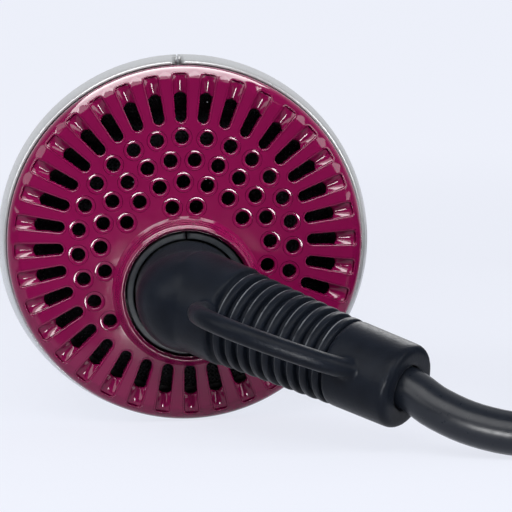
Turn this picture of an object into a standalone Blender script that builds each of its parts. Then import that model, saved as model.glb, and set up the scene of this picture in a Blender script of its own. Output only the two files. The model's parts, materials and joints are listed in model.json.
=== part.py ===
"""Base handle of a hot-air styler, lying on a table, with its mains lead tied up beside it.

X points right as seen from behind, Y runs from the intake grille to the outlet, and Z points up. The origin lies
on the table under the middle of the handle. Lengths are in metres.

Most pieces are laid out from the air axis, the line through the swivel, fan, heater and outlet. Along it, "along"
is counted from the grille's face towards the outlet, and "up" is counted from the axis.
"""

from math import atan2, cos, hypot, pi, radians, sin

import bmesh
import bpy
from mathutils import Vector

# Clearances
FIT = 0.0003
RUNNING_GAP = 0.0006
WELD_DISTANCE = 0.000001

# Handle body
FRONT_RADIUS = 0.02085
FLAT_DEPTH = 0.0012
HOUSING_WALL = 0.0020
HOUSING_END = 0.1500
WIDEST_ALONG = 0.0080
TAPER_EASE = 0.60
LIP_STEP = 0.0004
REAR_STEP = 0.0016
NOTCH_WIDTH = 0.0010
NOTCH_DEPTH = 0.0016

# Rear grille
GRILLE_RADIUS = 0.0262
GRILLE_PLATE = 0.0020
GRILLE_SHOULDER = 0.0022
GRILLE_SIDE = 0.0012
GRILLE_WALL = 0.0031
TONGUE_LENGTH = 0.0058
TONGUE_WALL = 0.0015
SLOT_COUNT = 36
SLOT_INNER_WIDTH = 0.0017
SLOT_OUTER_WIDTH = 0.0022
SLOT_CORNER = 0.0005
SLOT_START = 0.0176
SLOT_END = 0.0251
SLOT_DEPTH = 0.0025
HOLE_DIAMETER = 0.0023
HOLE_RINGS = ((0.01570, 27, 0.0), (0.01230, 22, 0.5), (0.00905, 16, 0.0), (0.00565, 10, 0.5))

# Swivel collar and bearing
COLLAR_HEIGHT = 0.0040
COLLAR_RIM = 0.0099
COLLAR_BASE = 0.0108
COLLAR_EDGE = 0.0003
SOCKET_RADIUS = 0.0090
SOCKET_WALL = 0.00095
SOCKET_LENGTH = 0.0100
SOCKET_SINK = 0.0010
FLANGE_LIP = 0.0011
FLANGE_THICKNESS = 0.0015

# Elbow strain relief
RELIEF_BEND = radians(52.3)
RELIEF_TURN = radians(20.5)
DOME_RADIUS = 0.0079
DOME_STANDOFF = 0.0043
NECK_RADIUS = 0.0074
NECK_LENGTH = 0.0088
RIB_COUNT = 9
RIB_PITCH = 0.0021
RIB_DEPTH = 0.0008
RIB_FIRST_RADIUS = 0.0071
RIB_LAST_RADIUS = 0.0063
SLEEVE_RADIUS = 0.00625
SLEEVE_END_RADIUS = 0.0061
SLEEVE_LENGTH = 0.0108
SLEEVE_ROUND = 0.0012
MOUTH_FLARE = 0.0010
CORD_SEAT = 0.0070

# Hanging loop
LOOP_THICKNESS = 0.0029
LOOP_STANDOFF = 0.0148
LOOP_START = 0.0065
LOOP_FLAT_START = 0.0130
LOOP_FLAT_END = 0.0200
LOOP_END = 0.0325

# Slip contacts
SLIP_DISC_RADIUS = 0.0068
SLIP_DISC_THICKNESS = 0.0015
SLIP_RING_THICKNESS = 0.0006
SLIP_RING_WIDTH = 0.0016
OUTER_RING_RADIUS = 0.0054
INNER_RING_RADIUS = 0.0020
WIPER_THICKNESS = 0.0003
WIPER_WIDTH = 0.0016
WIPER_RISE = 0.0016
WIPER_FOOT = 0.0025
WIPER_REACH = 0.0022
CARRIER_WALL = 0.0012
CARRIER_FLOOR = 0.0018
CARRIER_SKIRT = 0.0050

# Blower
FAN_ALONG = 0.0260
FAN_LENGTH = 0.0085
FAN_HUB_RADIUS = 0.0062
BLADE_COUNT = 7
BLADE_CHORD = 0.0088
BLADE_THICKNESS = 0.0010
BLADE_PITCH = radians(38.0)
SHAFT_RADIUS = 0.0010
MOTOR_ALONG = 0.0385
MOTOR_LENGTH = 0.0260
MOTOR_RADIUS = 0.0115
END_CAP_LENGTH = 0.0040
END_CAP_RADIUS = 0.0106
DUCT_WALL = 0.0010
DUCT_START = 0.0240
DUCT_END = 0.0780
DUCT_LIP = 0.0040
CRADLE_WALL = 0.0010
CRADLE_START = 0.0420
CRADLE_LENGTH = 0.0180
VANE_COUNT = 5
VANE_THICKNESS = 0.0014
BULKHEAD_ALONG = 0.0500
BULKHEAD_THICKNESS = 0.0016

# Heater
SLEEVE_TUBE_INSET = 0.00275
SLEEVE_TUBE_WALL = 0.0005
BOARD_THICKNESS = 0.0008
BOARD_START = 0.0820
BOARD_LENGTH = 0.0560
BOARD_TAB = 0.0045
COIL_INSET = 0.0034
COIL_WIRE = 0.0009
COIL_TURNS = 6
COIL_POINTS = 12
CUTOUT_SIZE = (0.0050, 0.0030, 0.0090)
FUSE_RADIUS = 0.0016
FUSE_LENGTH = 0.0095
FITTING_ALONG = 0.0860

# Outlet
TRIM_LENGTH = 0.0055
TRIM_TONGUE = 0.0080
TRIM_TONGUE_WALL = 0.0009
SPIGOT_WALL = 0.0013
SPIGOT_REACH = 0.0320
SPIGOT_CHAMFER = 0.0008
SPIGOT_SEAT_END = 0.1500
OUTLET_GRILLE_DEPTH = 0.0160
OUTLET_GRILLE_THICKNESS = 0.0020
OUTLET_BAR = 0.0013
OUTLET_RINGS = ((0.165, 0.470), (0.552, 0.876))
OUTLET_SPOKES = 4

# Attachment latch
LATCH_WIDTH = 0.0050
LATCH_TRAVEL = 0.0012
LATCH_ARM = 0.0012
BUTTON_START = 0.1260
BUTTON_LENGTH = 0.0100
BUTTON_PROUD = 0.0014
HOOK_LENGTH = 0.0035
HOOK_GAP = 0.0050

# Slide switch
PANEL_START = 0.0450
PANEL_LENGTH = 0.0440
PANEL_WIDTH = 0.0150
PANEL_PROUD = 0.0020
PANEL_SUNK = 0.0024
PANEL_EDGE = 0.0006
TRACK_DEPTH = 0.0012
KNOB_LENGTH = 0.0130
KNOB_WIDTH = 0.0086
KNOB_HEIGHT = 0.0030
KNOB_START = 0.0105
KNOB_TRAVEL = 0.0080
KNOB_GRIPS = 4
GRIP_DEPTH = 0.0006
STEM_LENGTH = 0.0040
STEM_WIDTH = 0.0026
SWITCH_LENGTH = 0.0220
SWITCH_WIDTH = 0.0090

# Mains lead
CORD_DIAMETER = 0.0060
CORD_PITCH = 0.00645
CORD_STEP = 0.0140
LAYER_TURNS = (1.5, 1.5, 1.5, 1.5, 0.25)
LOOP_POINTS = 24
INNER_TURN = 0.0254
CLIMB_DIP = 0.0012
WIND_CENTRE = (0.0892, -0.0967)
TIE_LAYERS = 4
TIE_THICKNESS = 0.0008
TIE_WIDTH = 0.0080
TIE_ANGLE = radians(60.0)
TIE_EASE = 0.0008
PLUG_ASIDE = 0.0190
PLUG_LENGTH = 0.0360
PLUG_WIDTH = 0.0270
PLUG_NECK = 0.0110
PLUG_THICKNESS = 0.0144
PLUG_ROUND = 0.0030
PIN_RADIUS = 0.0024
PIN_LENGTH = 0.0190
PIN_SPACING = 0.0190
PIN_SEAT = 0.0040

# Facets round a turned piece
COARSE = 16
MEDIUM = 24
FINE = 36

# Places that follow from the sizes above
AIR_HEIGHT = FRONT_RADIUS - FLAT_DEPTH
COLLAR_DROP = GRILLE_RADIUS + REAR_STEP - FRONT_RADIUS
SEAM_ALONG = GRILLE_SHOULDER + GRILLE_SIDE
HOUSING_START = SEAM_ALONG + FIT
TONGUE_END = SEAM_ALONG + TONGUE_LENGTH
GRILLE_BORE = GRILLE_RADIUS - GRILLE_WALL
TONGUE_RADIUS = GRILLE_BORE + TONGUE_WALL
COLLAR_BORE = SOCKET_RADIUS + FIT
SOCKET_START = SOCKET_SINK - COLLAR_HEIGHT
SOCKET_END = SOCKET_START + SOCKET_LENGTH
STEM_RADIUS = SOCKET_RADIUS - SOCKET_WALL - FIT
FLANGE_START = SOCKET_END + FIT
FLANGE_END = FLANGE_START + FLANGE_THICKNESS
SLIP_DISC_START = FLANGE_END + FIT
SLIP_RING_START = SLIP_DISC_START + SLIP_DISC_THICKNESS + FIT
SLIP_RING_END = SLIP_RING_START + SLIP_RING_THICKNESS
WIPER_TIP = SLIP_RING_END + FIT
CARRIER_FACE = WIPER_TIP + WIPER_RISE + WIPER_THICKNESS + FIT
BOSS_END = CARRIER_FACE - FIT
DOME_ALONG = -(COLLAR_HEIGHT + DOME_STANDOFF)
RIBS_END = NECK_LENGTH + RIB_COUNT * RIB_PITCH
RELIEF_LENGTH = RIBS_END + SLEEVE_LENGTH
CORD_RADIUS = CORD_DIAMETER / 2
DUCT_RADIUS = AIR_HEIGHT - HOUSING_WALL - 2 * FIT
DUCT_BORE = DUCT_RADIUS - DUCT_WALL
FAN_RADIUS = DUCT_BORE - RUNNING_GAP
CRADLE_BORE = MOTOR_RADIUS + FIT
TRIM_START = HOUSING_END + FIT
TRIM_END = TRIM_START + TRIM_LENGTH
TRIM_TONGUE_RADIUS = FRONT_RADIUS - HOUSING_WALL - FIT
SPIGOT_RADIUS = TRIM_TONGUE_RADIUS - TRIM_TONGUE_WALL - FIT
SPIGOT_BORE = SPIGOT_RADIUS - SPIGOT_WALL
SPIGOT_START = BOARD_START + BOARD_LENGTH
SPIGOT_END = TRIM_END + SPIGOT_REACH
OUTLET_GRILLE_START = SPIGOT_END - OUTLET_GRILLE_DEPTH
OUTLET_GRILLE_RADIUS = SPIGOT_BORE - FIT
SLEEVE_TUBE_RADIUS = SPIGOT_RADIUS - SLEEVE_TUBE_INSET
SLEEVE_BORE = SLEEVE_TUBE_RADIUS - SLEEVE_TUBE_WALL
SLEEVE_SEAT = SLEEVE_TUBE_RADIUS + FIT
SLEEVE_TUBE_START = DUCT_END - DUCT_LIP
BOARD_HALF = SLEEVE_BORE - FIT
COIL_RADIUS = SLEEVE_TUBE_RADIUS - COIL_INSET
BOARD_WAIST = COIL_RADIUS * cos(pi / COIL_POINTS) - COIL_WIRE / 2 - FIT
BODY_FRONT = SPIGOT_END
FACE_Y = (COLLAR_HEIGHT - BODY_FRONT) / 2
LATCH_LOW = SLEEVE_TUBE_RADIUS + FIT + LATCH_TRAVEL
LATCH_HIGH = LATCH_LOW + LATCH_ARM
HOOK_START = TRIM_END + HOOK_GAP
HOOK_END = HOOK_START + HOOK_LENGTH
HOOK_TOP = SPIGOT_RADIUS + LATCH_TRAVEL
PANEL_END = PANEL_START + PANEL_LENGTH
PANEL_MIDDLE = (PANEL_START + PANEL_END) / 2
OUTER_TURN = INNER_TURN + LAYER_TURNS[0] * CORD_PITCH
WIND_LOW = CORD_RADIUS + TIE_THICKNESS + 2 * FIT
WIND_HIGH = WIND_LOW + (TIE_LAYERS - 1) * CORD_PITCH

FINISHES = {
    "burgundy_gloss": ((0.195, 0.004, 0.048), 0.18, 0.0),
    "silver_satin": ((0.62, 0.64, 0.66), 0.34, 0.7),
    "black_rubber": ((0.012, 0.013, 0.015), 0.62, 0.0),
    "black_plastic": ((0.018, 0.019, 0.021), 0.45, 0.0),
    "black_cord": ((0.010, 0.011, 0.013), 0.38, 0.0),
    "brass": ((0.72, 0.52, 0.22), 0.30, 1.0),
    "steel": ((0.55, 0.56, 0.58), 0.32, 1.0),
    "mica": ((0.56, 0.47, 0.33), 0.60, 0.0),
    "heater_wire": ((0.30, 0.29, 0.28), 0.45, 1.0),
    "white_ceramic": ((0.78, 0.77, 0.74), 0.50, 0.0),
}


def swell(along):
    """Share of the rear swelling that the body keeps at this place, from 1 at its widest to 0 at the front."""
    reach = max(0.0, along - WIDEST_ALONG) / (HOUSING_END - WIDEST_ALONG)
    return 0.5 + 0.5 * cos(pi * min(1.0, reach) ** TAPER_EASE)


def section_rise(along):
    """Height of the body's round section above the air axis, which keeps the underside straight."""
    return COLLAR_DROP * swell(along)


def body_radius(along):
    return FRONT_RADIUS + COLLAR_DROP * swell(along)


def crown(along):
    """Height of the body's top line above the air axis."""
    return section_rise(along) + body_radius(along)


def station(share):
    """Place along the body, with the stations closer together where the taper bends most."""
    return WIDEST_ALONG + (HOUSING_END - WIDEST_ALONG) * share ** (1 / TAPER_EASE)


def add_collection(name):
    made = bpy.data.collections.new(name)
    bpy.context.scene.collection.children.link(made)
    return made


def add_finish(name, colour, roughness, metallic):
    made = bpy.data.materials.new(name)
    made.use_nodes = True
    shader = made.node_tree.nodes["Principled BSDF"]
    shader.inputs["Base Color"].default_value = (*colour, 1.0)
    shader.inputs["Roughness"].default_value = roughness
    shader.inputs["Metallic"].default_value = metallic
    return made


def add_empty(name, location, rotation, parent=None):
    made = bpy.data.objects.new(name, None)
    made.location = location
    made.rotation_euler = rotation
    made.parent = parent
    PARTS.objects.link(made)
    return made


def add_object(name, data, parent=None, finish=None):
    """A piece of the styler when it has a finish, and a cutter when it has none."""
    made = bpy.data.objects.new(name, data)
    made.parent = parent
    if finish:
        PARTS.objects.link(made)
        data.materials.append(MATERIALS[finish])
    else:
        TOOLS.objects.link(made)
        made.hide_render = True
        made.display_type = "WIRE"
    return made


def settle(piece):
    """Turn a piece's curve or modifiers into plain mesh, weld it and point its faces outwards."""
    bpy.context.view_layer.update()
    graph = bpy.context.evaluated_depsgraph_get()
    mesh = bpy.data.meshes.new_from_object(piece.evaluated_get(graph))
    shape = bmesh.new()
    shape.from_mesh(mesh)
    bmesh.ops.remove_doubles(shape, verts=shape.verts, dist=WELD_DISTANCE)
    bmesh.ops.recalc_face_normals(shape, faces=shape.faces)
    shape.to_mesh(mesh)
    shape.free()
    mesh.shade_smooth()
    mesh.set_sharp_from_angle(angle=radians(35.0))
    return mesh


def settled(name, data, parent, finish, modify=None):
    """A piece whose curve or modifiers have been made plain mesh."""
    rough = add_object(name + "_rough", data)
    if modify:
        modify(rough)
    mesh = settle(rough)
    bpy.data.objects.remove(rough)
    return add_object(name, mesh, parent, finish)


def turned(name, outline, facets, parent, finish=None):
    """A turned piece. The outline holds (radius, along) points: a ring, or a run that starts and ends on the axis."""
    mesh = bpy.data.meshes.new(name)
    lag = pi / facets
    points = [(radius * cos(lag), radius * sin(lag), along) for radius, along in outline]
    edges = [(i, i + 1) for i in range(len(points) - 1)]
    if outline[0][0] > 0:
        edges.append((len(points) - 1, 0))
    mesh.from_pydata(points, edges, [])

    def turn(rough):
        screw = rough.modifiers.new("turn", "SCREW")
        screw.steps = facets
        screw.render_steps = facets
        screw.use_merge_vertices = True
        screw.merge_threshold = WELD_DISTANCE

    return settled(name, mesh, parent, finish, turn)


def prism(name, outlines, low, high, parent, finish=None, edge=0.0):
    """Flat outlines in XY, raised from low to high. An outline inside another is a hole."""
    curve = bpy.data.curves.new(name, "CURVE")
    curve.dimensions = "2D"
    curve.fill_mode = "BOTH"
    curve.extrude = (high - low) / 2 - edge
    curve.bevel_depth = edge
    curve.bevel_resolution = 1
    curve.offset = -edge
    for outline in outlines:
        line = curve.splines.new("POLY")
        line.points.add(len(outline) - 1)
        for point, (x, y) in zip(line.points, outline):
            point.co = (x, y, 0.0, 1.0)
        line.use_cyclic_u = True
    made = settled(name, curve, parent, finish)
    for vertex in made.data.vertices:
        vertex.co.z += (low + high) / 2
    return made


def tube(name, points, radius, resolution, parent, finish=None):
    """A round wire or lead through the points, with closed ends."""
    curve = bpy.data.curves.new(name, "CURVE")
    curve.dimensions = "3D"
    curve.bevel_depth = radius
    curve.bevel_resolution = resolution
    curve.use_fill_caps = True
    line = curve.splines.new("POLY")
    line.points.add(len(points) - 1)
    for point, place in zip(line.points, points):
        point.co = (*place, 1.0)
    return settled(name, curve, parent, finish)


def block(name, low, high, parent, finish=None):
    """A box between two corners."""
    mesh = bpy.data.meshes.new(name)
    shape = bmesh.new()
    bmesh.ops.create_cube(shape, size=1.0)
    size = Vector(high) - Vector(low)
    bmesh.ops.scale(shape, vec=size, verts=shape.verts)
    bmesh.ops.translate(shape, vec=(Vector(high) + Vector(low)) / 2, verts=shape.verts)
    shape.to_mesh(mesh)
    shape.free()
    return add_object(name, mesh, parent, finish)


def combine(piece, tool, operation):
    step = piece.modifiers.new(tool.name, "BOOLEAN")
    step.operation = operation
    step.solver = "EXACT"
    step.object = tool


def cut(piece, *tools):
    for tool in tools:
        combine(piece, tool, "DIFFERENCE")


def fuse(piece, *tools):
    for tool in tools:
        combine(piece, tool, "UNION")


def arc(centre, radius, start, end, count):
    """Points on a circle, from one angle to another."""
    angles = [start + (end - start) * i / count for i in range(count + 1)]
    return [(centre[0] + radius * cos(angle), centre[1] + radius * sin(angle)) for angle in angles]


def circle(centre, radius, count, start=0.0):
    return arc(centre, radius, start, start + 2 * pi * (count - 1) / count, count - 1)


def rounded(low, high, radius, count):
    """A rectangle with rounded corners."""
    corners = (
        (high[0] - radius, high[1] - radius, 0.0),
        (low[0] + radius, high[1] - radius, 0.5),
        (low[0] + radius, low[1] + radius, 1.0),
        (high[0] - radius, low[1] + radius, 1.5),
    )
    points = []
    for x, y, turns in corners:
        points += arc((x, y), radius, turns * pi, (turns + 0.5) * pi, count)
    return points


def smooth_path(points, step):
    """Points about a step apart on a smooth curve through the given ones."""
    ends = [points[0] * 2 - points[1], *points, points[-1] * 2 - points[-2]]
    path = [points[0]]
    for before, start, end, after in zip(ends, ends[1:], ends[2:], ends[3:]):
        count = max(1, round((end - start).length / step))
        for i in range(1, count + 1):
            t = i / count
            bend = (2 * before - 5 * start + 4 * end - after) * t * t
            twist = (3 * start - before - 3 * end + after) * t * t * t
            path.append((2 * start + (end - before) * t + bend + twist) / 2)
    return path


def band(points, thickness):
    """Outline of a strap whose middle follows the points."""
    left = []
    right = []
    for i, (x, y) in enumerate(points):
        before = points[max(0, i - 1)]
        after = points[min(len(points) - 1, i + 1)]
        run = hypot(after[0] - before[0], after[1] - before[1])
        side = ((before[1] - after[1]) / run * thickness / 2, (after[0] - before[0]) / run * thickness / 2)
        left.append((x + side[0], y + side[1]))
        right.append((x - side[0], y - side[1]))
    return left + right[::-1]


def path_length(points):
    return sum((b - a).length for a, b in zip(points, points[1:]))


def seat_level(along_start, along_end):
    """Cutter for the flat that the underside rests on, between two places along the body."""
    reach = 2 * FRONT_RADIUS
    low = (-reach, AIR_HEIGHT, along_start)
    high = (reach, AIR_HEIGHT + reach, along_end)
    return low, high


def droop(piece):
    """Shift each ring of a turned piece up to the body's section there."""
    for vertex in piece.data.vertices:
        vertex.co.y -= section_rise(vertex.co.z)


def make_housing():
    """The two silver shells, parted on the middle plane."""
    widest = body_radius(WIDEST_ALONG)
    lip_start = GRILLE_RADIUS + LIP_STEP
    lip_reach = widest - lip_start
    lip_rise = WIDEST_ALONG - HOUSING_START
    bend = arc((0.0, 0.0), 1.0, -pi / 2, 0.0, 4)
    lip = [(lip_start + lip_reach * out, WIDEST_ALONG + lip_rise * along) for out, along in bend]
    stations = [station(i / 10) for i in range(1, 11)]
    outer = [(0.0, HOUSING_START), *lip, *[(body_radius(a), a) for a in stations], (0.0, HOUSING_END)]
    mouth = TONGUE_RADIUS + FIT
    inner_start = TONGUE_END + FIT
    inner = [(0.0, 0.0), (mouth, 0.0), (mouth, inner_start), (body_radius(inner_start) - HOUSING_WALL, inner_start)]
    inner += [(body_radius(a) - HOUSING_WALL, a) for a in stations if a > inner_start]
    inner += [(FRONT_RADIUS - HOUSING_WALL, TRIM_END), (0.0, TRIM_END)]
    cavity = turned("housing_cavity", inner, FINE, AIR)
    droop(cavity)
    reach = 2 * FRONT_RADIUS
    cut(cavity, block("cavity_floor", (-reach, AIR_HEIGHT - HOUSING_WALL, -reach), (reach, 2 * reach, 1.0), AIR))
    underside = block("underside_flat", *seat_level(-1.0, 1.0), AIR)
    notch_top = crown(WIDEST_ALONG)
    notch = block(
        "seam_notch",
        (-NOTCH_WIDTH / 2, -notch_top - reach, 0.0),
        (NOTCH_WIDTH / 2, -COLLAR_DROP - GRILLE_RADIUS, HOUSING_START + NOTCH_DEPTH),
        AIR,
    )
    halves = []
    for side, sign in (("left", -1), ("right", 1)):
        half = turned("housing_" + side, outer, FINE, AIR, "silver_satin")
        droop(half)
        inside = sorted((-sign * 4 * reach, sign * FIT / 2))
        parting = block("parting_" + side, (inside[0], -4 * reach, -1.0), (inside[1], 4 * reach, 1.0), AIR)
        cut(half, cavity, underside, parting, notch)
        halves.append(half)
    return halves


def intake_openings():
    """Outlines of the slots and of the round holes that clear the collar, about the collar's axis."""
    outlines = []
    inner = SLOT_INNER_WIDTH / 2
    corner = SLOT_OUTER_WIDTH / 2 - SLOT_CORNER
    end = SLOT_CORNER - SLOT_END
    slot = arc((0.0, -SLOT_START - inner), inner, 0.0, pi, 3)
    slot += arc((-corner, end), SLOT_CORNER, pi, 1.5 * pi, 1)
    slot += arc((corner, end), SLOT_CORNER, 1.5 * pi, 2 * pi, 1)
    for i in range(SLOT_COUNT):
        turn = 2 * pi * i / SLOT_COUNT
        outlines.append([(x * cos(turn) - y * sin(turn), x * sin(turn) + y * cos(turn)) for x, y in slot])
    for radius, count, lag in HOLE_RINGS:
        for i in range(count):
            turn = 2 * pi * (i + lag) / count
            x = radius * sin(turn)
            y = -radius * cos(turn)
            if hypot(x, y - COLLAR_DROP) > COLLAR_BASE + HOLE_DIAMETER / 2:
                outlines.append(circle((x, y), HOLE_DIAMETER / 2, 8, pi / 8))
    return outlines


def make_grille():
    """The burgundy intake cap with its slots, holes and off-centre swivel collar."""
    centre = add_empty("grille_centre", (0.0, -COLLAR_DROP, 0.0), (0.0, 0.0, 0.0), AIR)
    edge = GRILLE_RADIUS - GRILLE_SHOULDER
    outline = [
        (0.0, 0.0),
        *arc((edge, GRILLE_SHOULDER), GRILLE_SHOULDER, -pi / 2, 0.0, 3),
        (GRILLE_RADIUS, SEAM_ALONG),
        (TONGUE_RADIUS, SEAM_ALONG),
        (TONGUE_RADIUS, TONGUE_END),
        (GRILLE_BORE, TONGUE_END),
        (GRILLE_BORE, GRILLE_PLATE),
        (0.0, GRILLE_PLATE),
    ]
    grille = turned("rear_grille", outline, FINE, centre, "burgundy_gloss")
    collar = turned(
        "collar_boss",
        [
            (0.0, -COLLAR_HEIGHT),
            (COLLAR_RIM - COLLAR_EDGE, -COLLAR_HEIGHT),
            (COLLAR_RIM, COLLAR_EDGE - COLLAR_HEIGHT),
            (COLLAR_BASE, GRILLE_PLATE / 2),
            (COLLAR_BASE, BOSS_END),
            (0.0, BOSS_END),
        ],
        FINE,
        AIR,
    )
    over = GRILLE_PLATE
    bore = turned(
        "collar_bore",
        [
            (0.0, -COLLAR_HEIGHT - over),
            (COLLAR_BORE, -COLLAR_HEIGHT - over),
            (COLLAR_BORE, BOSS_END + over),
            (0.0, BOSS_END + over),
        ],
        FINE,
        AIR,
    )
    openings = prism("intake_openings", intake_openings(), -over, SLOT_DEPTH, centre)
    cut(grille, openings)
    fuse(grille, collar)
    cut(grille, bore)
    return grille


def make_sockets():
    """The bearing ring that carries the elbow, in two halves."""
    outline = [
        (SOCKET_RADIUS, SOCKET_START),
        (SOCKET_RADIUS, SOCKET_END),
        (SOCKET_RADIUS - SOCKET_WALL, SOCKET_END),
        (SOCKET_RADIUS - SOCKET_WALL, SOCKET_START),
    ]
    reach = 2 * SOCKET_RADIUS
    for side, sign in (("left", -1), ("right", 1)):
        half = turned("swivel_socket_" + side, outline, MEDIUM, AIR, "black_plastic")
        inside = sorted((-sign * reach, sign * FIT / 2))
        cut(half, block("socket_parting_" + side, (inside[0], -reach, -reach), (inside[1], reach, reach), AIR))


def rib_outline():
    """Outline of the ribbed length: raised rings with narrow grooves between them."""
    points = []
    for i in range(RIB_COUNT):
        share = i / (RIB_COUNT - 1)
        radius = RIB_FIRST_RADIUS + (RIB_LAST_RADIUS - RIB_FIRST_RADIUS) * share
        start = NECK_LENGTH + i * RIB_PITCH
        points.append((radius - RIB_DEPTH, start))
        points.append((radius - RIB_DEPTH, start + RIB_PITCH * 0.28))
        points.append((radius, start + RIB_PITCH * 0.45))
        points.append((radius, start + RIB_PITCH * 0.88))
    return points


def make_strain_relief():
    """Elbow, ribs, end sleeve, hanging loop and the stem that turns in the socket: one moulding."""
    bore = CORD_RADIUS + FIT
    relief = turned(
        "strain_relief",
        [
            (0.0, 0.0),
            (NECK_RADIUS, 0.0),
            (NECK_RADIUS, NECK_LENGTH - RIB_PITCH * 0.12),
            *rib_outline(),
            (SLEEVE_RADIUS - RIB_DEPTH / 2, RIBS_END),
            (SLEEVE_RADIUS, RIBS_END + SLEEVE_ROUND / 2),
            *arc((SLEEVE_END_RADIUS - SLEEVE_ROUND, RELIEF_LENGTH - SLEEVE_ROUND), SLEEVE_ROUND, 0.0, pi / 2, 3),
            (bore + MOUTH_FLARE, RELIEF_LENGTH),
            (bore, RELIEF_LENGTH - MOUTH_FLARE),
            (bore, RELIEF_LENGTH - CORD_SEAT),
            (0.0, RELIEF_LENGTH - CORD_SEAT),
        ],
        COARSE,
        RELIEF,
        "black_rubber",
    )
    dome = arc((0.0, DOME_ALONG), DOME_RADIUS, -pi / 2, 0.0, 5)
    stem = turned(
        "relief_stem",
        [
            (0.0, DOME_ALONG - DOME_RADIUS),
            *dome[1:],
            (STEM_RADIUS, SOCKET_START - FIT),
            (STEM_RADIUS, FLANGE_START),
            (STEM_RADIUS + FLANGE_LIP, FLANGE_START),
            (STEM_RADIUS + FLANGE_LIP, FLANGE_END),
            (0.0, FLANGE_END),
        ],
        COARSE,
        AIR,
    )
    root = SLEEVE_RADIUS - LOOP_THICKNESS / 2
    rise = LOOP_STANDOFF - root
    bend_in = LOOP_FLAT_START - LOOP_START
    bend_out = LOOP_END - LOOP_FLAT_END
    route = [
        Vector((root, 0.0, LOOP_START)),
        Vector((root + rise * 0.62, 0.0, LOOP_START + bend_in * 0.28)),
        Vector((LOOP_STANDOFF, 0.0, LOOP_FLAT_START)),
        Vector((LOOP_STANDOFF, 0.0, LOOP_FLAT_END)),
        Vector((root + rise * 0.55, 0.0, LOOP_FLAT_END + bend_out * 0.72)),
        Vector((root, 0.0, LOOP_END)),
    ]
    loop = tube("hanging_loop", smooth_path(route, LOOP_THICKNESS), LOOP_THICKNESS / 2, 2, RELIEF)
    fuse(relief, stem, loop)
    return relief


def make_contacts():
    """Slip rings that turn with the lead, and the fixed contacts that rub on them."""
    turned(
        "slip_disc",
        [
            (0.0, SLIP_DISC_START),
            (SLIP_DISC_RADIUS, SLIP_DISC_START),
            (SLIP_DISC_RADIUS, SLIP_DISC_START + SLIP_DISC_THICKNESS),
            (0.0, SLIP_DISC_START + SLIP_DISC_THICKNESS),
        ],
        COARSE,
        AIR,
        "white_ceramic",
    )
    for name, radius in (("outer", OUTER_RING_RADIUS), ("inner", INNER_RING_RADIUS)):
        half = SLIP_RING_WIDTH / 2
        ring = [
            (radius - half, SLIP_RING_START),
            (radius + half, SLIP_RING_START),
            (radius + half, SLIP_RING_END),
            (radius - half, SLIP_RING_END),
        ]
        turned("slip_ring_" + name, ring, COARSE, AIR, "brass")
    for name, radius, sign in (("outer", OUTER_RING_RADIUS, 1), ("inner", INNER_RING_RADIUS, -1)):
        tip = WIPER_TIP + WIPER_THICKNESS / 2
        foot = tip + WIPER_RISE
        bend = radius - WIPER_REACH if sign > 0 else radius + WIPER_REACH
        start = bend - WIPER_FOOT if sign > 0 else bend + WIPER_FOOT
        run = [(start, foot), (bend, foot), (radius, tip), (radius + sign * WIPER_WIDTH / 2, tip)]
        strip = band([(sign * x, along) for x, along in run], WIPER_THICKNESS)
        half = WIPER_WIDTH / 2
        prism("wiper_" + name, [strip], -half, half, SIDE_PLANE, "brass")
    skirt = COLLAR_BASE + FIT
    turned(
        "contact_carrier",
        [
            (0.0, CARRIER_FACE),
            (skirt, CARRIER_FACE),
            (skirt, CARRIER_FACE - CARRIER_SKIRT),
            (skirt + CARRIER_WALL, CARRIER_FACE - CARRIER_SKIRT),
            (skirt + CARRIER_WALL, CARRIER_FACE + CARRIER_FLOOR),
            (0.0, CARRIER_FACE + CARRIER_FLOOR),
        ],
        MEDIUM,
        AIR,
        "black_plastic",
    )


def make_fan():
    """Axial impeller: a domed hub with pitched blades, pressed on the motor shaft."""
    centre = add_empty("fan_centre", (0.0, 0.0, FAN_ALONG + FAN_LENGTH / 2), (0.0, 0.0, 0.0), AIR)
    half = FAN_LENGTH / 2
    bore = SHAFT_RADIUS + FIT
    nose = FAN_HUB_RADIUS * 0.35
    hub = turned(
        "fan_impeller",
        [
            (bore, -half),
            (FAN_HUB_RADIUS - nose, -half),
            (FAN_HUB_RADIUS, nose - half),
            (FAN_HUB_RADIUS, half),
            (bore, half),
        ],
        COARSE,
        centre,
        "black_plastic",
    )
    swing = BLADE_CHORD / 2 * cos(BLADE_PITCH) + BLADE_THICKNESS / 2
    root = FAN_HUB_RADIUS * 0.6
    tip = (FAN_RADIUS**2 - swing**2) ** 0.5
    for i in range(BLADE_COUNT):
        turn = 2 * pi * i / BLADE_COUNT
        spoke = add_empty(f"blade_axis_{i}", (0.0, 0.0, 0.0), (BLADE_PITCH, 0.0, turn), centre)
        low = (root, -BLADE_CHORD / 2, -BLADE_THICKNESS / 2)
        high = (tip, BLADE_CHORD / 2, BLADE_THICKNESS / 2)
        fuse(hub, block(f"fan_blade_{i}", low, high, spoke))
    return hub


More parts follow.
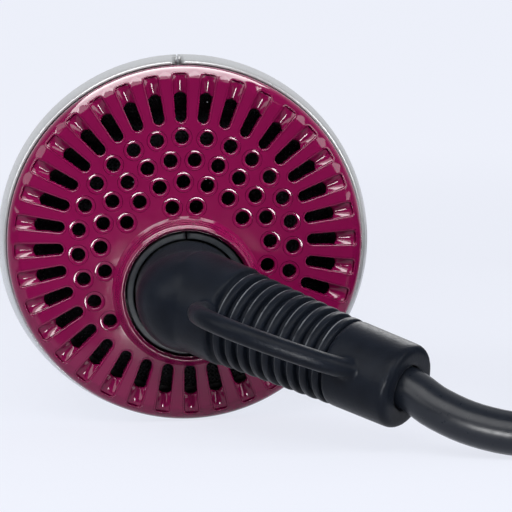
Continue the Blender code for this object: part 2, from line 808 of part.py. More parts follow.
def make_motor():
    """Small motor on the air axis, with its end cap and shaft."""
    bore = SHAFT_RADIUS + FIT
    edge = MOTOR_RADIUS * 0.1
    motor_end = MOTOR_ALONG + MOTOR_LENGTH
    turned(
        "motor_can",
        [
            (bore, MOTOR_ALONG),
            (MOTOR_RADIUS - edge, MOTOR_ALONG),
            (MOTOR_RADIUS, MOTOR_ALONG + edge),
            (MOTOR_RADIUS, motor_end),
            (bore, motor_end),
        ],
        MEDIUM,
        AIR,
        "steel",
    )
    cap_start = motor_end + FIT
    turned(
        "motor_end_cap",
        [
            (bore, cap_start),
            (END_CAP_RADIUS, cap_start),
            (END_CAP_RADIUS, cap_start + END_CAP_LENGTH / 2),
            (END_CAP_RADIUS * 0.6, cap_start + END_CAP_LENGTH),
            (bore, cap_start + END_CAP_LENGTH),
        ],
        COARSE,
        AIR,
        "black_plastic",
    )
    shaft_end = cap_start + END_CAP_LENGTH
    turned(
        "motor_shaft",
        [(0.0, FAN_ALONG), (SHAFT_RADIUS, FAN_ALONG), (SHAFT_RADIUS, shaft_end), (0.0, shaft_end)],
        12,
        AIR,
        "steel",
    )


def make_duct():
    """Fan tube with the bulkhead that fills the housing, the motor cradle and the straightening vanes."""
    step = DUCT_RADIUS - SLEEVE_SEAT
    duct = turned(
        "fan_duct",
        [
            (DUCT_RADIUS, DUCT_START),
            (DUCT_RADIUS, DUCT_END - DUCT_LIP - step),
            (SLEEVE_SEAT + DUCT_WALL, DUCT_END - DUCT_LIP),
            (SLEEVE_SEAT + DUCT_WALL, DUCT_END),
            (SLEEVE_SEAT, DUCT_END),
            (SLEEVE_SEAT, DUCT_END - DUCT_LIP - FIT),
            (DUCT_BORE, DUCT_END - DUCT_LIP - step),
            (DUCT_BORE, DUCT_START),
        ],
        MEDIUM,
        AIR,
        "black_plastic",
    )
    bulkhead_end = BULKHEAD_ALONG + BULKHEAD_THICKNESS
    rise = section_rise(bulkhead_end)
    radius = body_radius(bulkhead_end) - HOUSING_WALL - FIT
    floor = AIR_HEIGHT - HOUSING_WALL - FIT
    rim = [(x, min(y, floor)) for x, y in circle((0.0, -rise), radius, MEDIUM)]
    window = circle((0.0, 0.0), DUCT_BORE + DUCT_WALL * 0.4, MEDIUM)
    bulkhead = prism("duct_bulkhead", [rim, window], BULKHEAD_ALONG, bulkhead_end, AIR)
    cradle = turned(
        "motor_cradle",
        [
            (CRADLE_BORE + CRADLE_WALL, CRADLE_START),
            (CRADLE_BORE + CRADLE_WALL, CRADLE_START + CRADLE_LENGTH),
            (CRADLE_BORE, CRADLE_START + CRADLE_LENGTH),
            (CRADLE_BORE, CRADLE_START),
        ],
        MEDIUM,
        AIR,
    )
    for i in range(VANE_COUNT):
        spoke = add_empty(f"vane_axis_{i}", (0.0, 0.0, 0.0), (0.0, 0.0, 2 * pi * i / VANE_COUNT + pi / 2), AIR)
        low = (CRADLE_BORE + CRADLE_WALL / 2, -VANE_THICKNESS / 2, CRADLE_START + CRADLE_WALL)
        high = (DUCT_BORE + DUCT_WALL * 0.7, VANE_THICKNESS / 2, CRADLE_START + CRADLE_LENGTH - CRADLE_WALL)
        fuse(cradle, block(f"duct_vane_{i}", low, high, spoke))
    fuse(duct, bulkhead, cradle)


def board_outline():
    """A mica board: wide end tabs that seat in the sleeve and a waist that carries the wire."""
    end = BOARD_START + BOARD_LENGTH
    right = [
        (BOARD_HALF, BOARD_START),
        (BOARD_HALF, BOARD_START + BOARD_TAB),
        (BOARD_WAIST, BOARD_START + BOARD_TAB * 1.2),
        (BOARD_WAIST, end - BOARD_TAB * 1.2),
        (BOARD_HALF, end - BOARD_TAB),
        (BOARD_HALF, end),
    ]
    return right + [(-x, along) for x, along in right[::-1]]


def make_heater():
    """Mica cross with its wire, the mica sleeve round it, and the two cut-outs."""
    half = BOARD_THICKNESS / 2
    upright = prism("heater_board_upright", [board_outline()], -half, half, UPRIGHT_PLANE, "mica")
    level = prism("heater_board_level", [board_outline()], -half, half, SIDE_PLANE, "mica")
    middle = BOARD_START + BOARD_LENGTH / 2
    slit = half + FIT
    wide = 4 * half
    far = BOARD_START + 2 * BOARD_LENGTH
    cut(upright, block("upright_slit", (-wide, -slit, 0.0), (wide, slit, middle + FIT / 2), AIR))
    cut(level, block("level_slit", (-slit, -wide, middle - FIT / 2), (slit, wide, far), AIR))
    turns = COIL_TURNS
    start = BOARD_START + BOARD_TAB * 1.2 + COIL_WIRE
    run = BOARD_LENGTH - 2 * (BOARD_TAB * 1.2 + COIL_WIRE)
    count = COIL_POINTS * turns
    wire = []
    for i in range(count + 1):
        angle = 2 * pi * turns * i / count + pi / 4
        wire.append((COIL_RADIUS * cos(angle), COIL_RADIUS * sin(angle), start + run * i / count))
    tube("heater_coil", wire, COIL_WIRE / 2, 0, AIR, "heater_wire")
    tube_end = SPIGOT_SEAT_END - FIT
    turned(
        "mica_sleeve",
        [
            (SLEEVE_TUBE_RADIUS, SLEEVE_TUBE_START),
            (SLEEVE_TUBE_RADIUS, tube_end),
            (SLEEVE_BORE, tube_end),
            (SLEEVE_BORE, SLEEVE_TUBE_START),
        ],
        MEDIUM,
        AIR,
        "mica",
    )
    width, height, length = CUTOUT_SIZE
    corner = half + FIT
    block(
        "thermostat",
        (corner, -corner - height, FITTING_ALONG + BOARD_TAB),
        (corner + width, -corner, FITTING_ALONG + BOARD_TAB + length),
        AIR,
        "white_ceramic",
    )
    fuse_axis = corner + FUSE_RADIUS
    fuse_centre = add_empty("fuse_axis", (-fuse_axis, fuse_axis, FITTING_ALONG + BOARD_TAB), (0.0, 0.0, 0.0), AIR)
    turned(
        "thermal_fuse",
        [
            (0.0, 0.0),
            (FUSE_RADIUS * 0.6, 0.0),
            (FUSE_RADIUS, FUSE_RADIUS * 0.5),
            (FUSE_RADIUS, FUSE_LENGTH),
            (0.0, FUSE_LENGTH),
        ],
        12,
        fuse_centre,
        "steel",
    )


def make_outlet():
    """Burgundy ring that holds the shells together, the spigot for attachments and its grille."""
    tongue_start = HOUSING_END - TRIM_TONGUE
    tongue_bore = TRIM_TONGUE_RADIUS - TRIM_TONGUE_WALL
    ring = turned(
        "trim_ring",
        [
            (TRIM_TONGUE_RADIUS, tongue_start),
            (TRIM_TONGUE_RADIUS, TRIM_START),
            (FRONT_RADIUS, TRIM_START),
            (FRONT_RADIUS, TRIM_END),
            (tongue_bore, TRIM_END),
            (tongue_bore, tongue_start),
        ],
        FINE,
        AIR,
        "burgundy_gloss",
    )
    reach = 2 * FRONT_RADIUS
    floor = AIR_HEIGHT - HOUSING_WALL - FIT
    cut(ring, block("ring_flat", *seat_level(0.0, 1.0), AIR))
    cut(ring, block("tongue_flat", (-reach, floor, 0.0), (reach, reach, TRIM_START), AIR))
    spigot = turned(
        "front_spigot",
        [
            (SPIGOT_RADIUS, SPIGOT_START),
            (SPIGOT_RADIUS, SPIGOT_END - SPIGOT_CHAMFER),
            (SPIGOT_RADIUS - SPIGOT_CHAMFER, SPIGOT_END),
            (SPIGOT_BORE, SPIGOT_END),
            (SPIGOT_BORE, SPIGOT_SEAT_END + SPIGOT_WALL),
            (SLEEVE_BORE, SPIGOT_SEAT_END + SPIGOT_WALL),
            (SLEEVE_BORE, SPIGOT_SEAT_END),
            (SLEEVE_SEAT, SPIGOT_SEAT_END),
            (SLEEVE_SEAT, SPIGOT_START),
        ],
        FINE,
        AIR,
        "black_plastic",
    )
    half = LATCH_WIDTH / 2 + FIT
    slot_low = (-half, -SPIGOT_RADIUS - SPIGOT_WALL, 0.0)
    slot_high = (half, FIT - LATCH_LOW + LATCH_TRAVEL, HOOK_END + FIT)
    cut(spigot, block("latch_slot", slot_low, slot_high, AIR))
    outlines = [circle((0.0, 0.0), OUTLET_GRILLE_RADIUS, FINE)]
    for inner_share, outer_share in OUTLET_RINGS:
        inner = OUTLET_GRILLE_RADIUS * inner_share
        outer = OUTLET_GRILLE_RADIUS * outer_share
        for i in range(OUTLET_SPOKES):
            start = 2 * pi * i / OUTLET_SPOKES
            end = start + 2 * pi / OUTLET_SPOKES
            near = OUTLET_BAR / 2 / inner
            far = OUTLET_BAR / 2 / outer
            window = arc((0.0, 0.0), outer, start + far, end - far, 5)
            window += arc((0.0, 0.0), inner, end - near, start + near, 3)
            outlines.append(window)
    face_end = OUTLET_GRILLE_START + OUTLET_GRILLE_THICKNESS
    prism("outlet_grille", outlines, OUTLET_GRILLE_START, face_end, AIR, "black_plastic")


def make_latch(halves):
    """Sprung latch: a button on the body's top and a hook that comes up through the spigot."""
    button_end = BUTTON_START + BUTTON_LENGTH
    button_top = crown(BUTTON_START) + BUTTON_PROUD
    ramp = HOOK_LENGTH / 2
    outline = [
        (BUTTON_START, LATCH_LOW),
        (HOOK_END, LATCH_LOW),
        (HOOK_END, LATCH_HIGH),
        (HOOK_END - ramp, HOOK_TOP),
        (HOOK_START, HOOK_TOP),
        (HOOK_START, LATCH_HIGH),
        (button_end, LATCH_HIGH),
        (button_end, button_top),
        (BUTTON_START, button_top),
    ]
    half = LATCH_WIDTH / 2
    prism("release_latch", [outline], -half, half, LATCH_PLANE, "black_plastic")
    over = half + FIT
    window = block(
        "button_window",
        (-over, -button_top - HOUSING_WALL, BUTTON_START - FIT),
        (over, -LATCH_HIGH, button_end + FIT),
        AIR,
    )
    for shell in halves:
        cut(shell, window)


def make_switch(halves):
    """Panel set in the body's top, its slide knob, and the switch block below it."""
    half_length = PANEL_LENGTH / 2
    half_width = PANEL_WIDTH / 2
    corner = half_width * 0.7
    outline = rounded((-half_width, -half_length), (half_width, half_length), corner, 5)
    panel = prism("switch_panel", [outline], -PANEL_SUNK, PANEL_PROUD, SWITCH, "silver_satin", PANEL_EDGE)
    wide = half_width + FIT
    long = half_length + FIT
    opening = rounded((-wide, -long), (wide, long), corner + FIT, 5)
    window = prism("panel_window", [opening], -2 * PANEL_SUNK, 2 * PANEL_SUNK, SWITCH)
    for shell in halves:
        cut(shell, window)
    knob_start = KNOB_START - half_length
    knob_end = knob_start + KNOB_LENGTH
    knob_half = KNOB_WIDTH / 2
    floor = PANEL_PROUD - TRACK_DEPTH
    track_low = (-knob_half - FIT, knob_start - FIT, floor)
    track_high = (knob_half + FIT, knob_end + KNOB_TRAVEL + FIT, 2 * PANEL_PROUD)
    cut(panel, block("knob_track", track_low, track_high, SWITCH))
    stem_start = (knob_start + knob_end - STEM_LENGTH) / 2
    stem_end = stem_start + STEM_LENGTH
    stem_half = STEM_WIDTH / 2
    gate_low = (-stem_half - FIT, stem_start - FIT, -2 * PANEL_SUNK)
    gate_high = (stem_half + FIT, stem_end + KNOB_TRAVEL + FIT, 2 * PANEL_PROUD)
    cut(panel, block("stem_gate", gate_low, gate_high, SWITCH))
    knob_low = floor + FIT
    knob = block(
        "switch_knob",
        (-knob_half, knob_start, knob_low),
        (knob_half, knob_end, knob_low + KNOB_HEIGHT),
        SWITCH,
        "burgundy_gloss",
    )
    stem = block(
        "knob_stem", (-stem_half, stem_start, -PANEL_SUNK), (stem_half, stem_end, knob_low + KNOB_HEIGHT / 2), SWITCH
    )
    fuse(knob, stem)
    pitch = KNOB_LENGTH / (KNOB_GRIPS + 1)
    for i in range(KNOB_GRIPS):
        middle = knob_start + (i + 1) * pitch
        low = (-KNOB_WIDTH, middle - pitch / 4, knob_low + KNOB_HEIGHT - GRIP_DEPTH)
        high = (KNOB_WIDTH, middle + pitch / 4, 2 * KNOB_HEIGHT + knob_low)
        cut(knob, block(f"knob_grip_{i}", low, high, SWITCH))
    top = -PANEL_SUNK - FIT
    middle = (stem_start + stem_end + KNOB_TRAVEL) / 2
    # The block fills the room that the panel leaves above the duct, which is least at the block's front end.
    front_rise = PANEL_RISE - (middle + SWITCH_LENGTH / 2) * sin(PANEL_SLOPE)
    bottom = (DUCT_RADIUS + FIT - front_rise) / cos(PANEL_SLOPE)
    block(
        "switch_block",
        (-SWITCH_WIDTH / 2, middle - SWITCH_LENGTH / 2, bottom),
        (SWITCH_WIDTH / 2, middle + SWITCH_LENGTH / 2, top),
        SWITCH,
        "black_plastic",
    )


def relief_point(reach):
    """World place on the strain relief's axis, at this distance from the middle of its dome."""
    out = sin(RELIEF_BEND)
    direction = Vector((out * cos(RELIEF_TURN), -cos(RELIEF_BEND), -out * sin(RELIEF_TURN)))
    return Vector((0.0, FACE_Y + DOME_ALONG, AIR_HEIGHT)) + direction * reach


def wound_points():
    """Middle line of the coil: layers that wind inwards and outwards in turn, with half a turn to climb."""
    half = LOOP_POINTS // 2
    line = []
    radius = OUTER_TURN
    begun = 0.0
    level = WIND_LOW
    for layer, turns in enumerate(LAYER_TURNS):
        way = 1 if layer % 2 else -1
        for i in range(round(turns * LOOP_POINTS) + 1):
            line.append((radius + way * CORD_PITCH * i / LOOP_POINTS, begun + i / LOOP_POINTS, level))
        radius += way * CORD_PITCH * turns
        begun += turns
        if layer + 1 == len(LAYER_TURNS):
            break
        for i in range(1, half):
            share = i / half
            lift = CORD_PITCH * (1 - cos(pi * share)) / 2
            line.append((radius + way * CLIMB_DIP * sin(pi * share), begun + share / 2, level + lift))
        begun += 0.5
        level += CORD_PITCH
    points = []
    for radius, turn, level in line:
        angle = 2 * pi * turn - pi / 2
        x = WIND_CENTRE[0] + radius * cos(angle)
        y = WIND_CENTRE[1] + radius * sin(angle)
        points.append(Vector((x, y, level)))
    first = points[0] - Vector((CORD_DIAMETER, 0.0, 0.0))
    last = points[-1] + Vector((0.0, CORD_DIAMETER, 0.0))
    return [first, *points, last]


def least_gap(points):
    """Smallest clear distance between stretches of a lead that are more than half a loop apart."""
    apart = LOOP_POINTS // 2
    least = min((points[i] - points[j]).length for i in range(len(points)) for j in range(i + apart, len(points)))
    return least - CORD_DIAMETER


def make_lead():
    """The mains lead: a free stretch, the tied coil, a short tail and the plug."""
    wound = wound_points()
    tube("cord_coil", wound, CORD_RADIUS, 1, None, "black_cord")
    gap = Vector((FIT, 0.0, 0.0))
    lead_end = wound[0] - gap
    lead_route = [
        relief_point(RELIEF_LENGTH - CORD_SEAT + FIT),
        relief_point(RELIEF_LENGTH),
        Vector((0.0323, -0.1267, 0.0064)),
        Vector((0.0385, -0.1300, 0.0040)),
        Vector((0.0455, -0.1322, 0.0031)),
        Vector((0.0550, -0.1325, 0.0032)),
        lead_end - Vector((2 * CORD_DIAMETER, 0.0, 0.0)),
        lead_end,
    ]
    lead = smooth_path(lead_route, CORD_STEP)
    tube("cord_lead", lead, CORD_RADIUS, 3, None, "black_cord")
    tail_start = wound[-1] + Vector((0.0, FIT, 0.0))
    plug_end = FACE_Y + BODY_FRONT - FIT
    plug_rear = Vector((
        WIND_CENTRE[0] + PLUG_ASIDE,
        plug_end - PLUG_LENGTH - PIN_LENGTH,
        PLUG_THICKNESS / 2 + FIT,
    ))
    run = plug_rear - tail_start
    off = Vector((0.0, 2 * CORD_DIAMETER, 0.0))
    tail_route = [
        tail_start,
        tail_start + off,
        tail_start + Vector((run.x * 0.10, run.y * 0.40, run.z * 0.50)),
        tail_start + Vector((run.x * 0.70, run.y * 0.68, run.z * 0.98)),
        plug_rear - off,
        plug_rear - Vector((0.0, FIT, 0.0)),
    ]
    tail = smooth_path(tail_route, CORD_STEP)
    tube("cord_tail", tail, CORD_RADIUS, 3, None, "black_cord")
    length = path_length(lead) + path_length(wound) + path_length(tail)
    print(f"mains lead {length:.3f} m long, least gap in the coil {least_gap(wound) * 1000:.2f} mm")
    make_tie()
    make_plug(plug_rear)


def make_tie():
    """Strap round the coil's turns."""
    place = Vector((WIND_CENTRE[0], WIND_CENTRE[1], 0.0))
    frame = add_empty("tie_plane", place, (pi / 2, 0.0, TIE_ANGLE))
    most = OUTER_TURN + CORD_RADIUS + FIT
    least = INNER_TURN - CORD_RADIUS - TIE_EASE
    low = WIND_LOW - CORD_RADIUS - FIT
    high = WIND_HIGH + CORD_RADIUS + FIT
    inner = rounded((least, low), (most, high), CORD_RADIUS / 2, 3)
    outer = rounded(
        (least - TIE_THICKNESS, low - TIE_THICKNESS),
        (most + TIE_THICKNESS, high + TIE_THICKNESS),
        CORD_RADIUS / 2 + TIE_THICKNESS,
        3,
    )
    prism("cord_tie", [outer, inner], -TIE_WIDTH / 2, TIE_WIDTH / 2, frame, "black_rubber")


def make_plug(rear):
    """Flat two-pin mains plug, lying on its side."""
    frame = add_empty("plug_frame", (rear.x, rear.y, 0.0), (0.0, 0.0, 0.0))
    half = PLUG_WIDTH / 2
    neck = PLUG_NECK / 2
    outline = [
        (neck, 0.0),
        (neck, PLUG_LENGTH * 0.22),
        (half, PLUG_LENGTH * 0.55),
        *arc((half - PLUG_ROUND, PLUG_LENGTH - PLUG_ROUND), PLUG_ROUND, 0.0, pi / 2, 3),
    ]
    outline += [(-x, y) for x, y in outline[::-1]]
    body = prism("plug_body", [outline], FIT, FIT + PLUG_THICKNESS, frame, "black_plastic", PLUG_ROUND / 2)
    middle = FIT + PLUG_THICKNESS / 2
    for side, sign in (("left", -1), ("right", 1)):
        place = (sign * PIN_SPACING / 2, 0.0, middle)
        axis = add_empty("pin_axis_" + side, place, (-pi / 2, 0.0, 0.0), frame)
        start = PLUG_LENGTH - PIN_SEAT
        hole = PIN_RADIUS + FIT
        over = PIN_LENGTH
        bore = [(0.0, start - FIT), (hole, start - FIT), (hole, start + over), (0.0, start + over)]
        cut(body, turned("pin_seat_" + side, bore, 12, axis))
        end = PLUG_LENGTH + PIN_LENGTH
        tip = PIN_RADIUS / 2
        pin = [(0.0, start), (PIN_RADIUS, start), (PIN_RADIUS, end - tip), (PIN_RADIUS - tip, end), (0.0, end)]
        turned("plug_pin_" + side, pin, 12, axis, "brass")


for leftover in list(bpy.data.objects):
    bpy.data.objects.remove(leftover)
PARTS = add_collection("hot_air_styler_base")
TOOLS = add_collection("cutters")
MATERIALS = {name: add_finish(name, *values) for name, values in FINISHES.items()}

# Frames: the air axis, the relief's axis, flat planes through the air axis, and the sloping switch panel.
AIR = add_empty("air_axis", (0.0, FACE_Y, AIR_HEIGHT), (-pi / 2, 0.0, 0.0))
RELIEF = add_empty("relief_axis", (0.0, 0.0, DOME_ALONG), (0.0, pi - RELIEF_BEND, RELIEF_TURN), AIR)
SIDE_PLANE = add_empty("side_plane", (0.0, 0.0, 0.0), (pi / 2, 0.0, 0.0), AIR)
UPRIGHT_PLANE = add_empty("upright_plane", (0.0, 0.0, 0.0), (pi / 2, 0.0, pi / 2), AIR)
LATCH_PLANE = add_empty("latch_plane", (0.0, 0.0, 0.0), (0.0, -pi / 2, pi), AIR)
PANEL_RISE = (crown(PANEL_START) + crown(PANEL_END)) / 2
PANEL_SLOPE = atan2(crown(PANEL_START) - crown(PANEL_END), PANEL_LENGTH)
SWITCH = add_empty("switch_plane", (0.0, -PANEL_RISE, PANEL_MIDDLE), (pi / 2 - PANEL_SLOPE, 0.0, 0.0), AIR)

SHELLS = make_housing()
make_grille()
make_sockets()
make_strain_relief()
make_contacts()
make_fan()
make_motor()
make_duct()
make_heater()
make_outlet()
make_latch(SHELLS)
make_switch(SHELLS)
make_lead()
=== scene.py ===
# %% [markdown]
# # Hot-air styler base, seen from behind
#
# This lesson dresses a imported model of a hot-air styler's base handle: a slotted burgundy intake
# grille, a swivelling rubber elbow with its ribs and hanging loop, and a black mains lead. The
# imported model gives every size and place. The pieces made here are finer meshes that stand where
# its plain solids are, and procedural finishes for all of them.

import json
from math import atan2, cos, pi, radians, sin, sqrt

import bmesh
import bpy
import numpy as np
from mathutils import Euler, Matrix, Quaternion, Vector


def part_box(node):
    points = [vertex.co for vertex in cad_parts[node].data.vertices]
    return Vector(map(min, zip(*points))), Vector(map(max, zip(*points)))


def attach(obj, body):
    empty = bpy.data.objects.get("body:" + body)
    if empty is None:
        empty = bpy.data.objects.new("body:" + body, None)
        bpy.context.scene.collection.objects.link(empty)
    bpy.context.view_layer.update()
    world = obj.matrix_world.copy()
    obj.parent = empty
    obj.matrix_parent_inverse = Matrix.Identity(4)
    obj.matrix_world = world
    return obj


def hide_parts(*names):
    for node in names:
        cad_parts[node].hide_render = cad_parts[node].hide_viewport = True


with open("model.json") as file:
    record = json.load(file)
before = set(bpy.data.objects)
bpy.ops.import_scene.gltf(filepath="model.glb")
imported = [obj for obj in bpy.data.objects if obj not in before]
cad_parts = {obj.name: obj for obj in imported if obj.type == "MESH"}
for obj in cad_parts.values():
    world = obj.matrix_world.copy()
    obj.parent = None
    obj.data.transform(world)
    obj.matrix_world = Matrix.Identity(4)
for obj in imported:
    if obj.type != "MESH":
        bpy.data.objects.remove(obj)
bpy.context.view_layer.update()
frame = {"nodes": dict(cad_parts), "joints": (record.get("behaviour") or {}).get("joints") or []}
SWIVEL = Vector(next(j["pos_m"] for j in frame["joints"] if j["name"] == "cord_swivel"))
FACE_Y = SWIVEL.y
AIR_HEIGHT = SWIVEL.z
print("nodes", len(frame["nodes"]), "grille face at", round(FACE_Y, 4), "air axis at", round(AIR_HEIGHT, 5))


def add_object(name, data):
    """A new object, linked to the scene."""
    made = bpy.data.objects.new(name, data)
    bpy.context.scene.collection.objects.link(made)
    return made


# %% [markdown]
# ## Camera
#
# The photograph was taken from close behind the handle, a little from the left and a little from
# above, and the camera was tilted by about two degrees. A long lens at 0.4 m gives the same mild
# perspective. The scale at the grille's face is 6.75 pixels to the millimetre in a picture of 512
# by 512 pixels, and that sets the focal length.

# %% Camera
PICTURE = 512
PIXELS_PER_METRE = 6750.0
EYE_DISTANCE = 0.400
EYE_TURN = radians(-4.0)
EYE_RISE = radians(6.5)
EYE_ROLL = radians(-1.85)
LOOK_AT = Vector((0.010350, FACE_Y, 0.024480))

back = Vector((sin(EYE_TURN) * cos(EYE_RISE), -cos(EYE_TURN) * cos(EYE_RISE), sin(EYE_RISE)))
camera = add_object("camera", bpy.data.cameras.new("camera"))
camera.data.lens = camera.data.sensor_width * EYE_DISTANCE * PIXELS_PER_METRE / PICTURE
camera.rotation_mode = "QUATERNION"
camera.location = LOOK_AT + back * EYE_DISTANCE
camera.rotation_quaternion = (-back).to_track_quat("-Z", "Y") @ Quaternion((0.0, 0.0, 1.0), EYE_ROLL)
bpy.context.scene.camera = camera
print("focal length", round(camera.data.lens, 1), "mm")

# %% [markdown]
# ## Mains lead
#
# The lead is a round two-core cable, 6 mm thick and 1.8 m long. It leaves the elbow's sleeve,
# sinks to the table and runs out of the picture. The rest is wound as for storage, in layers that
# go inwards and outwards in turn, held by a strap and ending in a plug. One Bezier spline through
# the route's points, with a round bevel, is the simplest way to make one unbroken cable, and its
# own line is the cable's middle line.

# %% Route of the lead
FIT = 0.0003
CORD_DIAMETER = 0.0060
CORD_PITCH = 0.00645
CORD_STEP = 0.0085
LAYER_TURNS = (1.5, 1.5, 1.5, 1.5, 0.25)
LOOP_POINTS = 24
INNER_TURN = 0.0254
CLIMB_DIP = 0.0012
WIND_CENTRE = Vector((0.0892, -0.0967, 0.0))
WIND_LOW = 0.0044
RELIEF_BEND = radians(52.3)
RELIEF_TURN = radians(20.5)
DOME_ALONG = -0.0083
RELIEF_LENGTH = 0.0385
CORD_SEAT = 0.0070
LEAD_BENDS = (
    (0.0323, -0.1267, 0.0064), (0.0385, -0.1300, 0.0040),
    (0.0455, -0.1322, 0.0031), (0.0550, -0.1325, 0.0032),
)
TAIL_BENDS = ((0.10, 0.40, 0.50), (0.70, 0.68, 0.98))
STRAIGHT = 2 * CORD_DIAMETER


def spread(low, high, steps):
    """Evenly spaced numbers from low to high, both ends included."""
    return [low + (high - low) * k / steps for k in range(steps + 1)]


def placed(place, *turns):
    """A matrix that moves to a place, after turns by Euler angles."""
    matrix = Matrix.Translation(place)
    for turn in turns:
        matrix = matrix @ Euler(turn).to_matrix().to_4x4()
    return matrix


AXIS = placed((0.0, FACE_Y, AIR_HEIGHT), (pi / 2, 0.0, 0.0))
RELIEF = placed(
    (0.0, FACE_Y + DOME_ALONG, AIR_HEIGHT), (-pi / 2, 0.0, 0.0), (0.0, pi - RELIEF_BEND, RELIEF_TURN)
)


def smooth_path(points, step):
    """Points about a step apart on a smooth curve through the given ones."""
    ends = [points[0] * 2 - points[1], *points, points[-1] * 2 - points[-2]]
    path = [points[0]]
    for before, start, end, after in zip(ends, ends[1:], ends[2:], ends[3:]):
        count = max(1, round((end - start).length / step))
        for t in spread(0.0, 1.0, count)[1:]:
            bend = (2 * before - 5 * start + 4 * end - after) * t * t
            twist = (3 * start - before - 3 * end + after) * t * t * t
            path.append((2 * start + (end - before) * t + bend + twist) / 2)
    return path


def wound_points():
    """Middle line of the coil: layers that wind inwards and outwards in turn, with half a turn to climb."""
    half = LOOP_POINTS // 2
    line = []
    radius = INNER_TURN + LAYER_TURNS[0] * CORD_PITCH
    begun = 0.0
    level = WIND_LOW
    for layer, turns in enumerate(LAYER_TURNS):
        way = 1 if layer % 2 else -1
        for i in range(round(turns * LOOP_POINTS) + 1):
            line.append((radius + way * CORD_PITCH * i / LOOP_POINTS, begun + i / LOOP_POINTS, level))
        radius += way * CORD_PITCH * turns
        begun += turns
        if layer + 1 == len(LAYER_TURNS):
            break
        for share in spread(0.0, 1.0, half)[1:-1]:
            lift = CORD_PITCH * (1 - cos(pi * share)) / 2
            line.append((radius + way * CLIMB_DIP * sin(pi * share), begun + share / 2, level + lift))
        begun += 0.5
        level += CORD_PITCH
    points = []
    for radius, turn, level in line:
        angle = 2 * pi * turn - pi / 2
        points.append(WIND_CENTRE + Vector((radius * cos(angle), radius * sin(angle), level)))
    before = points[0] - Vector((CORD_DIAMETER, 0.0, 0.0))
    return [before, *points, points[-1] + Vector((0.0, CORD_DIAMETER, 0.0))]


def lead_points():
    """The whole lead, from its seat in the sleeve to the back of the plug."""
    wound = wound_points()
    low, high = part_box("plug_body")
    plug_rear = Vector(((low.x + high.x) / 2, low.y, (low.z + high.z) / 2))
    stops = (RELIEF_LENGTH - CORD_SEAT + FIT, RELIEF_LENGTH)
    seat = [RELIEF @ Vector((0.0, 0.0, along)) for along in stops]
    bends = [Vector(bend) for bend in LEAD_BENDS]
    lead = smooth_path([*seat, *bends, wound[0] - Vector((STRAIGHT, 0.0, 0.0)), wound[0]], CORD_STEP)
    run = plug_rear - wound[-1]
    bends = [wound[-1] + Vector([way * part for way, part in zip(run, parts)]) for parts in TAIL_BENDS]
    ahead = Vector((0.0, STRAIGHT, 0.0))
    tail = smooth_path([wound[-1], wound[-1] + ahead, *bends, plug_rear - ahead, plug_rear], CORD_STEP)
    return lead[:-1] + wound + tail[1:]


route = lead_points()
lead_length = sum((b - a).length for a, b in zip(route, route[1:]))
print("lead", round(lead_length, 3), "m through", len(route), "points")

# %% The lead as one curve
curve = bpy.data.curves.new("mains_cord", "CURVE")
curve.dimensions = "3D"
curve.bevel_depth = CORD_DIAMETER / 2
curve.bevel_resolution = 6
curve.resolution_u = 5
curve.use_fill_caps = True
spline = curve.splines.new("BEZIER")
spline.bezier_points.add(len(route) - 1)
for point, place in zip(spline.bezier_points, route):
    point.co = place
    point.handle_left_type = "AUTO"
    point.handle_right_type = "AUTO"
mains_cord = add_object("mains_cord", curve)
print("cord", mains_cord.name, "has", len(spline.bezier_points), "bezier points")

# %% [markdown]
# ## Finishes
#
# Every finish is a small node tree on one Principled shader. Object coordinates are metres here,
# so a noise of scale 1000 has features about a millimetre wide. A broad noise shifts the colour a
# little, a finer one shifts the roughness and goes to a Bump node as moulding texture. What stays
# the same all over a surface is typed straight into the shader's sockets.

# %% Tools for node trees
def wire(tree, socket, value):
    """Wires a socket from another node's socket, or types a value into it."""
    if isinstance(value, bpy.types.NodeSocket):
        tree.links.new(value, socket)
    else:
        socket.default_value = value


def node(tree, kind, settings=None, **inputs):
    """A node whose inputs are typed in or wired from other nodes' sockets."""
    made = tree.nodes.new(kind)
    for name, value in (settings or {}).items():
        setattr(made, name, value)
    for name, value in inputs.items():
        wire(tree, made.inputs[name.replace("_", " ")], value)
    return made


def main_output(made):
    """The first output of a node that its settings leave in use."""
    return next(socket for socket in made.outputs if socket.enabled)


def out(tree, kind, settings=None, **inputs):
    """The main output of a new node."""
    return main_output(node(tree, kind, settings, **inputs))


def maths(tree, operation, *values, kind="ShaderNodeMath"):
    """The result of a sum on numbers or sockets, which fill the node's inputs in order."""
    made = node(tree, kind, {"operation": operation})
    for socket, value in zip(made.inputs, values):
        wire(tree, socket, value)
    return main_output(made)


def ranged(tree, value, source, target, **settings):
    """A value carried over from one range to another. The ends are numbers or sockets."""
    return out(
        tree, "ShaderNodeMapRange", settings, Value=value,
        From_Min=source[0], From_Max=source[1], To_Min=target[0], To_Max=target[1],
    )


def mix_shaders(tree, share, first, second, output):
    """Mixes two shaders by a share and hands the result to the tree's output."""
    mixed = node(tree, "ShaderNodeMixShader", Fac=share)
    tree.links.new(first, mixed.inputs[1])
    tree.links.new(second, mixed.inputs[2])
    tree.links.new(mixed.outputs["Shader"], tree.nodes[output].inputs["Surface"])


# %% One function for all finishes
PATCH_RANGE = (0.32, 0.68)
GRAIN_RANGE = (0.3, 0.7)
BUMP_SHARE = 0.25


